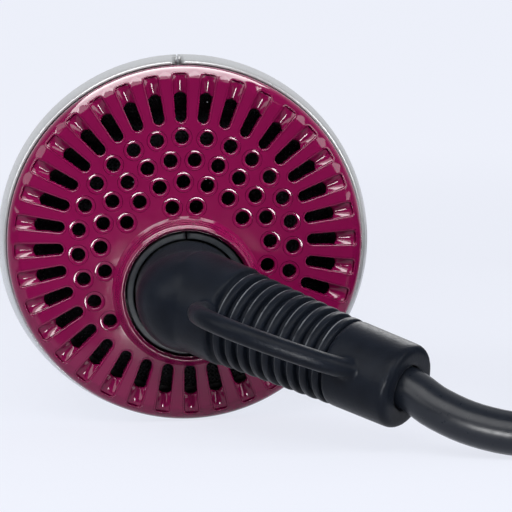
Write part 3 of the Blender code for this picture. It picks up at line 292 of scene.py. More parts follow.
def finish(name, dark, light, rough, patch, grain, bump, **inputs):
    """A material whose colour drifts over patches, with a fine grain in its roughness and its bump."""
    made = bpy.data.materials.new(name)
    made.use_nodes = True
    tree = made.node_tree
    where = node(tree, "ShaderNodeTexCoord").outputs["Object"]
    drift = out(tree, "ShaderNodeTexNoise", Vector=where, Scale=1.0 / patch, Detail=3.0)
    ramp = node(tree, "ShaderNodeValToRGB", Fac=drift)
    for stop, at, colour in zip(ramp.color_ramp.elements, PATCH_RANGE, (dark, light)):
        stop.position = at
        stop.color = (*colour, 1.0)
    fine = out(tree, "ShaderNodeTexNoise", Vector=where, Scale=1.0 / grain, Detail=4.0, Roughness=0.6)
    inputs["Base_Color"] = ramp.outputs["Color"]
    inputs["Roughness"] = ranged(tree, fine, GRAIN_RANGE, rough)
    inputs["Normal"] = out(tree, "ShaderNodeBump", Height=fine, Strength=bump, Distance=grain * BUMP_SHARE)
    for socket, value in inputs.items():
        wire(tree, tree.nodes["Principled BSDF"].inputs[socket.replace("_", " ")], value)
    return made


# %% Finishes of the outside and of the inside
FINISH = {
    "burgundy": finish(
        "burgundy_gloss", (0.150, 0.0026, 0.043), (0.178, 0.0037, 0.051), (0.06, 0.10), 0.020, 0.0012, 0.02,
        Specular_IOR_Level=0.24, Coat_Weight=0.15, Coat_Roughness=0.05,
    ),
    "silver": finish(
        "silver_satin", (0.55, 0.56, 0.57), (0.61, 0.62, 0.63), (0.26, 0.38), 0.012, 0.00025, 0.04,
        Metallic=0.45, Coat_Weight=0.2, Coat_Roughness=0.15,
    ),
    "rubber": finish(
        "black_rubber", (0.0036, 0.0050, 0.0085), (0.0060, 0.0080, 0.0128), (0.32, 0.44), 0.004, 0.00042,
        0.30, Specular_IOR_Level=0.08, Sheen_Weight=0.04, Sheen_Roughness=0.30,
    ),
    "sheath": finish(
        "black_cord", (0.0076, 0.0100, 0.0158), (0.0098, 0.0128, 0.0196), (0.26, 0.36), 0.008, 0.0010, 0.05,
        Specular_IOR_Level=0.30,
    ),
    "slate": finish(
        "slate_plastic", (0.024, 0.029, 0.035), (0.044, 0.051, 0.059), (0.42, 0.58), 0.0012, 0.00030, 0.20,
        Specular_IOR_Level=0.40,
    ),
    "plastic": finish(
        "black_plastic", (0.012, 0.013, 0.015), (0.020, 0.021, 0.024), (0.36, 0.52), 0.010, 0.00045, 0.18,
    ),
    "screen": finish(
        "dark_screen", (0.030, 0.033, 0.039), (0.046, 0.050, 0.058), (0.50, 0.70), 0.006, 0.0004, 0.10,
        Specular_IOR_Level=0.10,
    ),
    "brass": finish(
        "brass", (0.62, 0.42, 0.16), (0.74, 0.54, 0.24), (0.20, 0.34), 0.006, 0.0004, 0.05, Metallic=1.0,
    ),
    "steel": finish(
        "steel", (0.46, 0.47, 0.49), (0.58, 0.59, 0.61), (0.24, 0.40), 0.010, 0.0003, 0.06, Metallic=1.0,
    ),
    "mica": finish(
        "mica", (0.46, 0.37, 0.25), (0.60, 0.51, 0.37), (0.45, 0.70), 0.006, 0.0006, 0.20,
    ),
    "wire": finish(
        "heater_wire", (0.20, 0.19, 0.18), (0.36, 0.34, 0.32), (0.35, 0.55), 0.004, 0.0003, 0.10,
        Metallic=1.0,
    ),
    "ceramic": finish(
        "white_ceramic", (0.70, 0.69, 0.66), (0.82, 0.81, 0.78), (0.40, 0.60), 0.008, 0.0005, 0.10,
    ),
}
mains_cord.data.materials.append(FINISH["sheath"])
print("finishes", ", ".join(sorted(FINISH)))

# %% [markdown]
# ## Mesh tools
#
# Most of the outside is turned or lofted, so a few helpers carry it: quads between rows of
# points, an outline turned about an axis, a polyline whose corners are rounded, and a solid whose
# doubles are merged and faces turned outwards. Normals are weighted by the area of the faces,
# which keeps flat faces flat beside small rounded edges.

# %% Helpers for turned and lofted meshes
DOUBLES = 1e-7
CORNER_ROOM = 0.45


def quads(rows, columns, close_rows=False, close_columns=True):
    """Faces between neighbouring rows of points, each row having the same number of points."""
    faces = []
    for i in range(rows if close_rows else rows - 1):
        near = i * columns
        far = (i + 1) % rows * columns
        for j in range(columns if close_columns else columns - 1):
            after = (j + 1) % columns
            faces.append((near + j, near + after, far + after, far + j))
    return faces


def turned(outline, segments, ring=False, start=0.0, sweep=2 * pi):
    """Points and faces of an outline of (radius, height), turned about Z. A ring's outline is closed."""
    whole = abs(sweep - 2 * pi) < 1e-6
    stops = segments if whole else segments + 1
    angles = [start + sweep * i / segments for i in range(stops)]
    points = [(r * cos(a), r * sin(a), h) for r, h in outline for a in angles]
    faces = quads(len(outline), stops, ring, whole)
    if not whole:
        faces.append(tuple(i * stops for i in range(len(outline))))
        faces.append(tuple(i * stops + stops - 1 for i in range(len(outline))))
    return points, faces


def arc(x, y, radius, start, end, steps):
    """Points on an arc round (x, y)."""
    return [(x + radius * cos(t), y + radius * sin(t)) for t in spread(start, end, steps)]


def eased(outline, radius, steps=4, closed=True):
    """The outline with its corners rounded, or with as much rounding as its sides have room for."""
    count = len(outline)
    points = []
    for i, corner in enumerate(outline):
        if not closed and i in (0, count - 1):
            points.append(corner)
            continue
        corner = Vector(corner)
        before = Vector(outline[i - 1]) - corner
        after = Vector(outline[(i + 1) % count]) - corner
        near = corner + before.normalized() * min(radius, before.length * CORNER_ROOM)
        far = corner + after.normalized() * min(radius, after.length * CORNER_ROOM)
        for t in spread(0.0, 1.0, steps):
            points.append(tuple(near * (1 - t) ** 2 + corner * 2 * t * (1 - t) + far * t * t))
    return points


def shape_of(points, faces, place=Matrix()):
    """A bmesh solid with its doubles merged and its faces turned outwards."""
    shape = bmesh.new()
    made = [shape.verts.new(place @ Vector(p)) for p in points]
    for face in faces:
        shape.faces.new([made[i] for i in face])
    bmesh.ops.remove_doubles(shape, verts=shape.verts[:], dist=DOUBLES)
    bmesh.ops.recalc_face_normals(shape, faces=shape.faces[:])
    return shape


def shape_from(*meshes):
    """A bmesh solid from one or more finished meshes."""
    shape = bmesh.new()
    for mesh in meshes:
        shape.from_mesh(mesh)
    return shape


def mesh_of(name, *shapes):
    """One mesh from one or more bmesh solids."""
    mesh = bpy.data.meshes.new(name)
    for i, shape in enumerate(shapes):
        if i:
            shape.from_mesh(mesh)
        shape.to_mesh(mesh)
        shape.free()
    return mesh


def values_of(items, name, kind, width=1):
    """One property of all the items of a mesh, as an array."""
    found = np.empty(len(items) * width, kind)
    items.foreach_get(name, found)
    return found


def polish(mesh):
    """Smooth shading whose normals follow the larger faces."""
    mesh.shade_smooth()
    areas = values_of(mesh.polygons, "area", float)
    facing = values_of(mesh.polygons, "normal", float, 3).reshape(-1, 3)
    totals = values_of(mesh.polygons, "loop_total", int)
    normals = np.zeros((len(mesh.vertices), 3))
    weighted = np.repeat(facing * areas[:, None], totals, axis=0)
    np.add.at(normals, values_of(mesh.loops, "vertex_index", int), weighted)
    normals /= np.maximum(np.linalg.norm(normals, axis=1), 1e-15)[:, None]
    mesh.normals_split_custom_set_from_vertices(normals.tolist())
    return mesh


def place_piece(name, mesh, body, material, source):
    """A finished piece with its material and its body, which stands for one CAD node."""
    piece = add_object(name, polish(mesh))
    mesh.materials.clear()
    mesh.materials.append(FINISH[material])
    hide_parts(source)
    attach(piece, body)
    print(name, "stands for", source, "with", len(mesh.polygons), "faces")
    return piece


def settled(maker):
    """A plain mesh of an object with all its modifiers applied. The object is removed."""
    bpy.context.view_layer.update()
    graph = bpy.context.evaluated_depsgraph_get()
    mesh = bpy.data.meshes.new_from_object(maker.evaluated_get(graph))
    bpy.data.objects.remove(maker)
    return mesh


# %% [markdown]
# ## Intake grille
#
# The cap is one glossy moulding: 36 slots that run out over its rounded edge, and four rings of
# round holes, each with a soft lip that catches the light. Cutting so many openings with Booleans
# would leave knife edges. Instead, one lip is made for a hole and one for a slot, Geometry Nodes
# set them out in rings, and the flat between the lips is a curve fill, so that every edge is
# truly round. The cap is drawn flat, facing +Z, and its rim is bent over afterwards.

# %% Sizes of the grille
COLLAR_DROP = 0.00695
GRILLE_RADIUS = 0.0264
SHOULDER = 0.0022
RIM_DEPTH = 0.0034
PLATE_DEPTH = 0.0025
BORE_RADIUS = 0.0231
TONGUE_RADIUS = 0.0246
TONGUE_DEPTH = 0.0092
SLOT_COUNT = 36
SLOT_INNER_WIDTH = 0.0017
SLOT_OUTER_WIDTH = 0.0022
SLOT_START = 0.0180
SLOT_END = 0.0253
SLOT_CORNER = 0.0005
HOLE_RADIUS = 0.00104
HOLE_RINGS = ((0.01590, 27, 0.0), (0.01255, 22, 0.5), (0.00925, 16, 0.0), (0.00575, 10, 0.5))
HOLE_LIP_ROUND = 0.0016
SLOT_LIP_ROUND = 0.0008
LIP_SLOPE = radians(15.0)
LIP_EDGE_ROUND = 0.00012
BED_START = 0.0228
BED_ROUND = 0.0006
BED_INNER_DEPTH = 0.00100
BED_OUTER_DEPTH = 0.00050
BED_SIDE_DEPTH = 0.00022
BED_EDGE = 0.0003
BED_OVERLAP = 0.00005
COLLAR_CLEAR = 0.01195
COLLAR_WALL_MIDDLE = 0.0098
PLATE_EDGE = 0.0258
PLATE_EDGE_POINTS = 288
HOLE_POINTS = 24
WELD = 0.000004
CAP = placed((0.0, FACE_Y, AIR_HEIGHT + COLLAR_DROP), (pi / 2, 0.0, 0.0))
print("grille", 2 * GRILLE_RADIUS, "m across with", SLOT_COUNT, "slots")

# %% One lip for a hole, one for a slot, and the floor of a slot
def slot_half(along):
    """Half the slot's width at this distance from the middle of the cap."""
    start = SLOT_START + SLOT_INNER_WIDTH / 2
    share = max(0.0, (along - start) / (SLOT_END - start))
    return (SLOT_INNER_WIDTH + (SLOT_OUTER_WIDTH - SLOT_INNER_WIDTH) * share) / 2


def slot_outline():
    """Points round a slot that widens outwards and has a round inner end, and the way out at each."""
    inner = SLOT_INNER_WIDTH / 2
    right = [(inner * sin(t), SLOT_START + inner - inner * cos(t)) for t in spread(0.0, pi / 2, 6)[:-1]]
    right += [(slot_half(y), y) for y in spread(SLOT_START + inner, SLOT_END - SLOT_CORNER, 16)]
    corner = right[-1][0] - SLOT_CORNER
    right += arc(corner, SLOT_END - SLOT_CORNER, SLOT_CORNER, 0.0, pi / 2, 5)[1:]
    points = [Vector(p) for p in right + [(-x, y) for x, y in right[:0:-1]]]
    outward = []
    for i, point in enumerate(points):
        along = points[(i + 1) % len(points)] - points[i - 1]
        outward.append(Vector((along.y, -along.x)).normalized())
    return points, outward


def lip_rows(points, outward, soft):
    """The lip and wall of an opening: a gentle round, a tight round, and a straight wall to the back."""
    steps = [(soft * sin(tilt), soft * (1 - cos(tilt))) for tilt in spread(0.0, LIP_SLOPE, 4)]
    wide, deep = steps[-1]
    for tilt in spread(LIP_SLOPE, pi / 2, 4)[1:]:
        steps.append((
            wide + LIP_EDGE_ROUND * (sin(tilt) - sin(LIP_SLOPE)),
            deep + LIP_EDGE_ROUND * (cos(LIP_SLOPE) - cos(tilt)),
        ))
    whole = steps[-1][0]
    steps.append((whole, PLATE_DEPTH))
    return [[(*(p + o * (whole - run)), -fall) for p, o in zip(points, outward)] for run, fall in steps]


def opening_mesh(name, points, outward, soft):
    """The lip of one opening as an open mesh, from which the grille's copies are made."""
    rows = lip_rows(points, outward, soft)
    mesh = bpy.data.meshes.new(name)
    mesh.from_pydata(sum(rows, []), [], quads(len(rows), len(points)))
    mesh.flip_normals()
    return add_object(name, mesh)


def slot_bed():
    """The blind outer end of a slot: a block whose top is a trough that runs over the cap's edge."""
    outer = SLOT_END + BED_OVERLAP
    across = spread(-1.0, 1.0, 12)
    rows = []
    for share in spread(0.0, 1.0, 8):
        middle = BED_OUTER_DEPTH + (BED_INNER_DEPTH - BED_OUTER_DEPTH) * share
        row = []
        for u in across:
            along = outer + (BED_START - BED_ROUND * u * u - outer) * share
            deep = BED_SIDE_DEPTH + (middle - BED_SIDE_DEPTH) * (1 - u * u)
            row.append((u * (slot_half(along) + BED_OVERLAP), along, -deep))
        rows.append(row)
    edge = rows[-1]
    for t in spread(0.0, pi / 2, 4)[1:]:
        rows.append([(x, y - BED_EDGE * sin(t), z - BED_EDGE * (1 - cos(t))) for x, y, z in edge])
    rows.append([(x, y, -PLATE_DEPTH) for x, y, z in rows[-1]])
    rows.append([(x, y, -PLATE_DEPTH) for x, y, z in rows[0]])
    count = len(across)
    faces = quads(len(rows), count, True, False)
    for side in (0, count - 1):
        faces.append(tuple(i * count + side for i in range(len(rows))))
    return add_object("slot_bed", mesh_of("slot_bed", shape_of(sum(rows, []), faces)))


hole_points = [Vector(p) for p in arc(0.0, 0.0, HOLE_RADIUS, 0.0, 2 * pi, HOLE_POINTS)[:-1]]
hole_lip = opening_mesh("hole_lip", hole_points, [p.normalized() for p in hole_points], HOLE_LIP_ROUND)
slot_lip = opening_mesh("slot_lip", *slot_outline(), SLOT_LIP_ROUND)
slot_base = slot_bed()
print("faces of a hole lip", len(hole_lip.data.polygons), "and of a slot lip", len(slot_lip.data.polygons))


# %% Tools for Geometry Nodes
SOCKET_KINDS = (
    (bpy.types.Object, "NodeSocketObject"), (bpy.types.Material, "NodeSocketMaterial"),
    (int, "NodeSocketInt"), (float, "NodeSocketFloat"),
)


def grown(name, lay_out, values):
    """The plain mesh that a new tree with one named input for each value makes from nothing."""
    tree = bpy.data.node_groups.new(name, "GeometryNodeTree")
    tree.interface.new_socket("Geometry", in_out="OUTPUT", socket_type="NodeSocketGeometry")
    maker = add_object(name + "_maker", bpy.data.meshes.new(name + "_maker"))
    modifier = maker.modifiers.new(name, "NODES")
    places = {}
    for label, value in values.items():
        kind = next(kind for python_type, kind in SOCKET_KINDS if isinstance(value, python_type))
        places[label] = tree.interface.new_socket(label, in_out="INPUT", socket_type=kind).identifier
    given = tree.nodes.new("NodeGroupInput").outputs
    real = out(tree, "GeometryNodeRealizeInstances", Geometry=lay_out(tree, given))
    painted = out(tree, "GeometryNodeSetMaterial", Geometry=real, Material=given["Finish"])
    node(tree, "NodeGroupOutput", Geometry=painted)
    modifier.node_group = tree
    for label, value in values.items():
        modifier[places[label]] = value
    return settled(maker)


def vector(tree, **parts):
    return out(tree, "ShaderNodeCombineXYZ", **parts)


def upright_turn(tree, angle):
    """A rotation about Z."""
    return out(tree, "FunctionNodeEulerToRotation", Euler=vector(tree, Z=angle))


def position(tree):
    return out(tree, "GeometryNodeInputPosition")


def distance(tree, *ends):
    return maths(tree, "DISTANCE", *ends, kind="ShaderNodeVectorMath")


def compared(tree, left, test, right, kind="FLOAT", **inputs):
    settings = {"data_type": kind, "operation": test}
    return out(tree, "FunctionNodeCompare", settings, A=left, B=right, **inputs)


def join(tree, *sockets):
    made = node(tree, "GeometryNodeJoinGeometry")
    for socket in reversed(sockets):
        tree.links.new(socket, made.inputs["Geometry"])
    return made.outputs["Geometry"]


def shifted(tree, geometry, **ways):
    return out(tree, "GeometryNodeTransform", Geometry=geometry, **ways)


def without(tree, geometry, chosen):
    """The geometry without its chosen points."""
    settings = {"domain": "POINT"}
    return out(tree, "GeometryNodeDeleteGeometry", settings, Geometry=geometry, Selection=chosen)


def copies(tree, points, source, **ways):
    """Real copies of an object on points."""
    shape = node(tree, "GeometryNodeObjectInfo", Object=source).outputs["Geometry"]
    made = out(tree, "GeometryNodeInstanceOnPoints", Points=points, Instance=shape, **ways)
    return out(tree, "GeometryNodeRealizeInstances", Geometry=made)


def circle_curve(tree, points, radius):
    return out(tree, "GeometryNodeCurvePrimitiveCircle", Resolution=points, Radius=radius)


# %% Geometry Nodes that set out the openings and fill the flat
BORE_POINTS = 72


def lay_out_grille(tree, size):
    rings = []
    for i in range(len(HOLE_RINGS)):
        ring = out(
            tree, "GeometryNodeMeshCircle", {"fill_type": "NONE"},
            Vertices=size[f"Ring {i} Count"], Radius=size[f"Ring {i} Radius"],
        )
        rings.append(shifted(tree, ring, Rotation=upright_turn(tree, size[f"Ring {i} Turn"])))
    here = position(tree)
    bore_centre = vector(tree, Y=maths(tree, "MULTIPLY", size["Bore Drop"], -1.0))
    hidden = compared(tree, distance(tree, here, bore_centre), "LESS_EQUAL", size["Clear Radius"])
    holes = copies(tree, without(tree, join(tree, *rings), hidden), size["Hole"])
    # A slot is drawn at its own distance from the middle, so its copies only turn about the middle.
    hub = out(tree, "GeometryNodePoints", Count=size["Slot Count"])
    index = out(tree, "GeometryNodeInputIndex")
    share = maths(tree, "DIVIDE", index, size["Slot Count"])
    turn = upright_turn(tree, maths(tree, "MULTIPLY", share, 2 * pi))
    lips = join(tree, holes, copies(tree, hub, size["Slot"], Rotation=turn))
    bases = copies(tree, hub, size["Slot Floor"], Rotation=turn)
    # The open edges of the lips bound the flat in front and, lower down, the flat behind.
    beside = out(tree, "GeometryNodeInputMeshEdgeNeighbors")
    open_edge = compared(tree, beside, "EQUAL", 1, "INT")
    height = node(tree, "ShaderNodeSeparateXYZ", Vector=here).outputs["Z"]
    middle = maths(tree, "MULTIPLY", size["Depth"], -0.5)
    edge = circle_curve(tree, size["Edge Points"], size["Edge Radius"])
    bore = shifted(tree, circle_curve(tree, BORE_POINTS, size["Bore Radius"]), Translation=bore_centre)
    flats = []
    for test in ("GREATER_THAN", "LESS_THAN"):
        side = compared(tree, height, test, middle)
        both = maths(tree, "AND", open_edge, side, kind="FunctionNodeBooleanMath")
        loops = out(tree, "GeometryNodeMeshToCurve", Mesh=lips, Selection=both)
        bounds = join(tree, loops, edge, bore)
        flats.append(out(tree, "GeometryNodeFillCurve", {"mode": "TRIANGLES"}, Curve=bounds))
    front, behind = flats
    behind = out(tree, "GeometryNodeFlipFaces", Mesh=behind)
    sunk = vector(tree, Z=maths(tree, "MULTIPLY", size["Depth"], -1.0))
    whole = join(tree, lips, bases, front, shifted(tree, behind, Translation=sunk))
    return out(tree, "GeometryNodeMergeByDistance", Geometry=whole, Distance=WELD)


openings = {
    "Hole": hole_lip, "Slot": slot_lip, "Slot Floor": slot_base, "Slot Count": SLOT_COUNT,
    "Edge Radius": PLATE_EDGE, "Edge Points": PLATE_EDGE_POINTS, "Bore Radius": COLLAR_WALL_MIDDLE,
    "Bore Drop": COLLAR_DROP, "Clear Radius": COLLAR_CLEAR, "Depth": PLATE_DEPTH,
    "Finish": FINISH["burgundy"],
}
for i, (radius, count, lag) in enumerate(HOLE_RINGS):
    openings[f"Ring {i} Radius"] = radius
    openings[f"Ring {i} Count"] = count
    openings[f"Ring {i} Turn"] = pi / 2 + 2 * pi * lag / count
plate = grown("perforated_grille", lay_out_grille, openings)
for template in (hole_lip, slot_lip, slot_base):
    bpy.data.objects.remove(template)
print("grille plate", len(plate.polygons), "faces")


# %% Bend the rim over and add the edge and the collar
TURN_POINTS = 144
RIM_WELD = 0.000003
TONGUE_ROUND = 0.00015
COLLAR_BORE = 0.0093
COLLAR_MOUTH = 0.0034
COLLAR_TOP = 0.0040
COLLAR_ROUND = 0.00012
COLLAR_STEPS = (
    (0.01115, 0.0000), (0.01080, 0.00045), (0.01058, 0.0013), (0.01036, 0.0021), (0.01014, 0.0029),
)
STEP_IN = 0.00010
STEP_UP = 0.00012
BOSS_RADIUS = 0.01080
BOSS_END = 0.0137
FLARE_START = 0.0010
FLARE_END = 0.0002
FLARE_RADIUS = 0.01118
BEAD_MIDDLE = 0.00978
BEAD_RADIUS = 0.00020


def shoulder_drop(radius):
    """How far the rounded shoulder lies below the flat face at this distance from the middle."""
    past = min(max(0.0, radius - (GRILLE_RADIUS - SHOULDER)), SHOULDER)
    return SHOULDER - sqrt(SHOULDER * SHOULDER - past * past)


for vertex in plate.vertices:
    fall = shoulder_drop(vertex.co.xy.length)
    vertex.co.z -= fall * (1 + vertex.co.z / PLATE_DEPTH)

edge_start = np.arcsin((PLATE_EDGE - GRILLE_RADIUS + SHOULDER) / SHOULDER)
rim = [
    (GRILLE_RADIUS - SHOULDER + SHOULDER * sin(t), -SHOULDER + SHOULDER * cos(t))
    for t in spread(edge_start, pi / 2, 8)
]
rim += [(GRILLE_RADIUS, -PLATE_DEPTH), (PLATE_EDGE, -PLATE_DEPTH)]
tongue = eased(
    [
        (GRILLE_RADIUS, -PLATE_DEPTH), (GRILLE_RADIUS, -RIM_DEPTH), (TONGUE_RADIUS, -RIM_DEPTH),
        (TONGUE_RADIUS, -TONGUE_DEPTH), (BORE_RADIUS, -TONGUE_DEPTH), (BORE_RADIUS, -PLATE_DEPTH),
    ],
    TONGUE_ROUND, 2,
)
collar = [(BOSS_RADIUS, -BOSS_END), (BOSS_RADIUS, -FLARE_START), (FLARE_RADIUS, -FLARE_END)]
for radius, height in COLLAR_STEPS:
    collar += [(radius, height), (radius - STEP_IN, height + STEP_UP)]
collar += [(COLLAR_BORE, COLLAR_MOUTH), (COLLAR_BORE, -BOSS_END)]
collar = eased(collar, COLLAR_ROUND, 3)
# The bead goes in before the bore's two eased corners, which have four points each.
collar[-8:-8] = arc(BEAD_MIDDLE, COLLAR_TOP - BEAD_RADIUS, BEAD_RADIUS, 0.0, pi, 10)
cap_mesh = mesh_of(
    "intake_grille",
    shape_from(plate),
    shape_of(*turned(rim, PLATE_EDGE_POINTS)),
    shape_of(*turned(tongue, TURN_POINTS, True)),
    shape_of(*turned(collar, TURN_POINTS, True), Matrix.Translation((0.0, -COLLAR_DROP, 0.0))),
)
welded = shape_from(cap_mesh)
bmesh.ops.remove_doubles(welded, verts=welded.verts[:], dist=RIM_WELD)
bmesh.ops.transform(welded, matrix=CAP, verts=welded.verts[:])
welded.to_mesh(cap_mesh)
welded.free()
intake_grille = place_piece("intake_grille", cap_mesh, "handle", "burgundy", "rear_grille")

# %% [markdown]
# ## Lint screen
#
# Through the openings the photograph shows only a dark, matt ground. Behind its grille a dryer
# has a fine screen that keeps hair and lint out of the fan. Its wires repeat, so Geometry Nodes
# make them: a grid is trimmed to the space between the cap's tongue and the collar's boss, and
# each of its edges becomes a thin round wire.

# %% Lint screen
SCREEN_RADIUS = 0.0227
SCREEN_DEPTH = 0.0058
SCREEN_LINES = 76
WIRE_RADIUS = 0.00024
WIRE_SIDES = 6
BOSS_CLEAR = 0.0114
HOOP_OUTER = BORE_RADIUS - 0.0002
HOOP_INNER = 0.0221
HOOP_HALF = 0.0004
HOOP_ROUND = 0.00012


def weave_screen(tree, size):
    kept = out(
        tree, "GeometryNodeMeshGrid", Size_X=size["Width"], Size_Y=size["Width"],
        Vertices_X=size["Lines"], Vertices_Y=size["Lines"],
    )
    here = position(tree)
    boss = vector(tree, Y=maths(tree, "MULTIPLY", size["Boss Drop"], -1.0))
    kept = without(tree, kept, compared(tree, distance(tree, here), "GREATER_THAN", size["Rim Radius"]))
    kept = without(tree, kept, compared(tree, distance(tree, here, boss), "LESS_THAN", size["Boss Radius"]))
    lines = out(tree, "GeometryNodeMeshToCurve", Mesh=kept)
    section = circle_curve(tree, WIRE_SIDES, size["Wire Radius"])
    return out(tree, "GeometryNodeCurveToMesh", Curve=lines, Profile_Curve=section, Fill_Caps=True)


wires = grown("lint_screen", weave_screen, {
    "Width": 2 * SCREEN_RADIUS, "Lines": SCREEN_LINES, "Rim Radius": SCREEN_RADIUS, "Boss Radius": BOSS_CLEAR,
    "Boss Drop": COLLAR_DROP, "Wire Radius": WIRE_RADIUS, "Finish": FINISH["screen"],
})
hoop = [(HOOP_OUTER, -HOOP_HALF), (HOOP_OUTER, HOOP_HALF), (HOOP_INNER, HOOP_HALF), (HOOP_INNER, -HOOP_HALF)]
hoop = turned(eased(hoop, HOOP_ROUND, 2), TURN_POINTS, True)
screen_mesh = mesh_of("lint_screen", shape_from(wires), shape_of(*hoop))
screen_mesh.transform(CAP @ Matrix.Translation((0.0, 0.0, -SCREEN_DEPTH)))
lint_screen = add_object("lint_screen", screen_mesh)
lint_screen.data.materials.append(FINISH["screen"])
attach(lint_screen, "handle")
print("lint screen", len(screen_mesh.polygons), "faces")

# %% [markdown]
# ## Bearing ring
#
# In the collar sits a dark ring in two halves, the bearing that the elbow turns in. It is a
# turned section with eased edges, and the half turn of each piece stops short of the middle
# plane, which leaves the split that shows at the top.

# %% Bearing halves
SOCKET_RADIUS = 0.0090
SOCKET_BORE = 0.00805
SOCKET_TOP = 0.0030
SOCKET_BOTTOM = -0.0070
SOCKET_ROUND = 0.00022
SOCKET_POINTS = 48
split = FIT / 2 / SOCKET_RADIUS
section = [
    (SOCKET_RADIUS, SOCKET_BOTTOM), (SOCKET_RADIUS, SOCKET_TOP),
    (SOCKET_BORE, SOCKET_TOP), (SOCKET_BORE, SOCKET_BOTTOM),
]
section = eased(section, SOCKET_ROUND, 3)
for side, start in (("left", pi / 2), ("right", -pi / 2)):
    half = turned(section, SOCKET_POINTS, True, start + split, pi - 2 * split)
    name = "bearing_" + side
    place_piece(name, mesh_of(name, shape_of(*half, AXIS)), "handle", "slate", "swivel_socket_" + side)

# %% [markdown]
# ## Elbow, sleeve and hanging loop
#
# The strain relief is one soft rubber moulding, so its parts flow into each other. The dome, the
# neck, the sleeve and the loop are made as overlapping solids. A voxel remesh joins them into one
# skin, and smoothing rounds the inner corners as a mould would. The ribs are added afterwards,
# because they are crisp rings that repeat.

# %% Elbow solids
DOME_RADIUS = 0.0079
STEM_RADIUS = 0.00775
STEM_TOP = 0.0033
FLANGE_RADIUS = 0.00885
FLANGE_TOP = -0.0073
FLANGE_BOTTOM = -0.0088
NECK_RADIUS = 0.0074
NECK_LENGTH = 0.0088
RIB_COUNT = 9
RIB_PITCH = 0.0021
RIB_DEPTH = 0.0008
RIB_FIRST_RADIUS = 0.0071
RIB_LAST_RADIUS = 0.0063
RIBS_END = NECK_LENGTH + RIB_COUNT * RIB_PITCH
SLEEVE_RADIUS = 0.00625
SLEEVE_END_RADIUS = 0.0061
SLEEVE_ROUND = 0.0011
MOUTH_RADIUS = 0.00306
MOUTH_FLARE = 0.0003
LOOP_RADIUS = 0.00145
LOOP_STANDOFF = 0.0148
LOOP_START = 0.0075
LOOP_FLAT_START = 0.0130
LOOP_FLAT_END = 0.0200
LOOP_END = 0.0325
VOXEL = 0.00024
LOOP_SIDES = 32
LOOP_STEP = 0.0008
LOOP_BEND_IN = (0.62, 0.28)
LOOP_BEND_OUT = (0.55, 0.72)
NECK_EASE = 0.12
SLEEVE_STEP = 0.0004
ELBOW_POINTS = 96
DOME_FLATTEN = 0.11


def loop_route():
    """Middle line of the hanging loop, from the neck out to its straight run and back to the sleeve."""
    root = SLEEVE_RADIUS - LOOP_RADIUS
    rise = LOOP_STANDOFF - root
    bend_in = LOOP_START + (LOOP_FLAT_START - LOOP_START) * LOOP_BEND_IN[1]
    bend_out = LOOP_FLAT_END + (LOOP_END - LOOP_FLAT_END) * LOOP_BEND_OUT[1]
    corners = [
        (root, LOOP_START), (root + rise * LOOP_BEND_IN[0], bend_in), (LOOP_STANDOFF, LOOP_FLAT_START),
        (LOOP_STANDOFF, LOOP_FLAT_END), (root + rise * LOOP_BEND_OUT[0], bend_out), (root, LOOP_END),
    ]
    return smooth_path([Vector((off, 0.0, along)) for off, along in corners], LOOP_STEP)


def tube(path, radius, sides):
    """Points and faces of a closed round tube along a path that lies in the plane y = 0."""
    points = []
    for i, place in enumerate(path):
        along = (path[min(i + 1, len(path) - 1)] - path[max(i - 1, 0)]).normalized()
        across = Vector((0.0, 1.0, 0.0))
        up = along.cross(across)
        for angle in spread(0.0, 2 * pi, sides)[:-1]:
            points.append(place + (across * cos(angle) + up * sin(angle)) * radius)
    faces = quads(len(path), sides)
    faces.append(tuple(range(sides)))
    faces.append(tuple(range((len(path) - 1) * sides, len(path) * sides)))
    return points, faces


dome = [(DOME_RADIUS * sin(t), -DOME_ALONG + DOME_RADIUS * cos(t)) for t in spread(0.0, pi / 2, 16)]
stem = [(STEM_RADIUS, STEM_TOP), (STEM_RADIUS, FLANGE_TOP), (FLANGE_RADIUS, FLANGE_TOP)]
stem += [(FLANGE_RADIUS, FLANGE_BOTTOM), (0.0, FLANGE_BOTTOM)]
core = [(0.0, 0.0), (NECK_RADIUS, 0.0), (NECK_RADIUS, NECK_LENGTH - RIB_PITCH * NECK_EASE)]
core += [(RIB_FIRST_RADIUS - RIB_DEPTH, NECK_LENGTH), (RIB_LAST_RADIUS - RIB_DEPTH, RIBS_END)]
end = (SLEEVE_END_RADIUS, RELIEF_LENGTH)
seat = RELIEF_LENGTH - CORD_SEAT
sleeve = [(SLEEVE_RADIUS, RIBS_END + SLEEVE_STEP)]
sleeve += eased([sleeve[0], end, (MOUTH_RADIUS + MOUTH_FLARE, RELIEF_LENGTH)], SLEEVE_ROUND, 6, False)[1:]
sleeve += [(MOUTH_RADIUS, RELIEF_LENGTH - MOUTH_FLARE), (MOUTH_RADIUS, seat), (0.0, seat)]
dome_points, dome_faces = turned(dome + stem, ELBOW_POINTS)
pressed = []
for x, y, z in dome_points:
    share = min(1.0, max(0.0, (z - STEM_TOP) / (-DOME_ALONG - STEM_TOP)))
    pressed.append((x, y * (1 - DOME_FLATTEN * share) if y > 0 else y, z))
moulding = mesh_of(
    "elbow_solids",
    shape_of(pressed, dome_faces, AXIS),
    shape_of(*turned(core + sleeve, ELBOW_POINTS), RELIEF),
    shape_of(*tube(loop_route(), LOOP_RADIUS, LOOP_SIDES), RELIEF),
)
skin = add_object("elbow_skin", moulding)
remesh = skin.modifiers.new("one_skin", "REMESH")
remesh.mode = "VOXEL"
remesh.voxel_size = VOXEL
soften = skin.modifiers.new("mould_radius", "SMOOTH")
soften.factor = 0.5
soften.iterations = 12
elbow_mesh = settled(skin)
print("elbow skin", len(elbow_mesh.polygons), "faces")

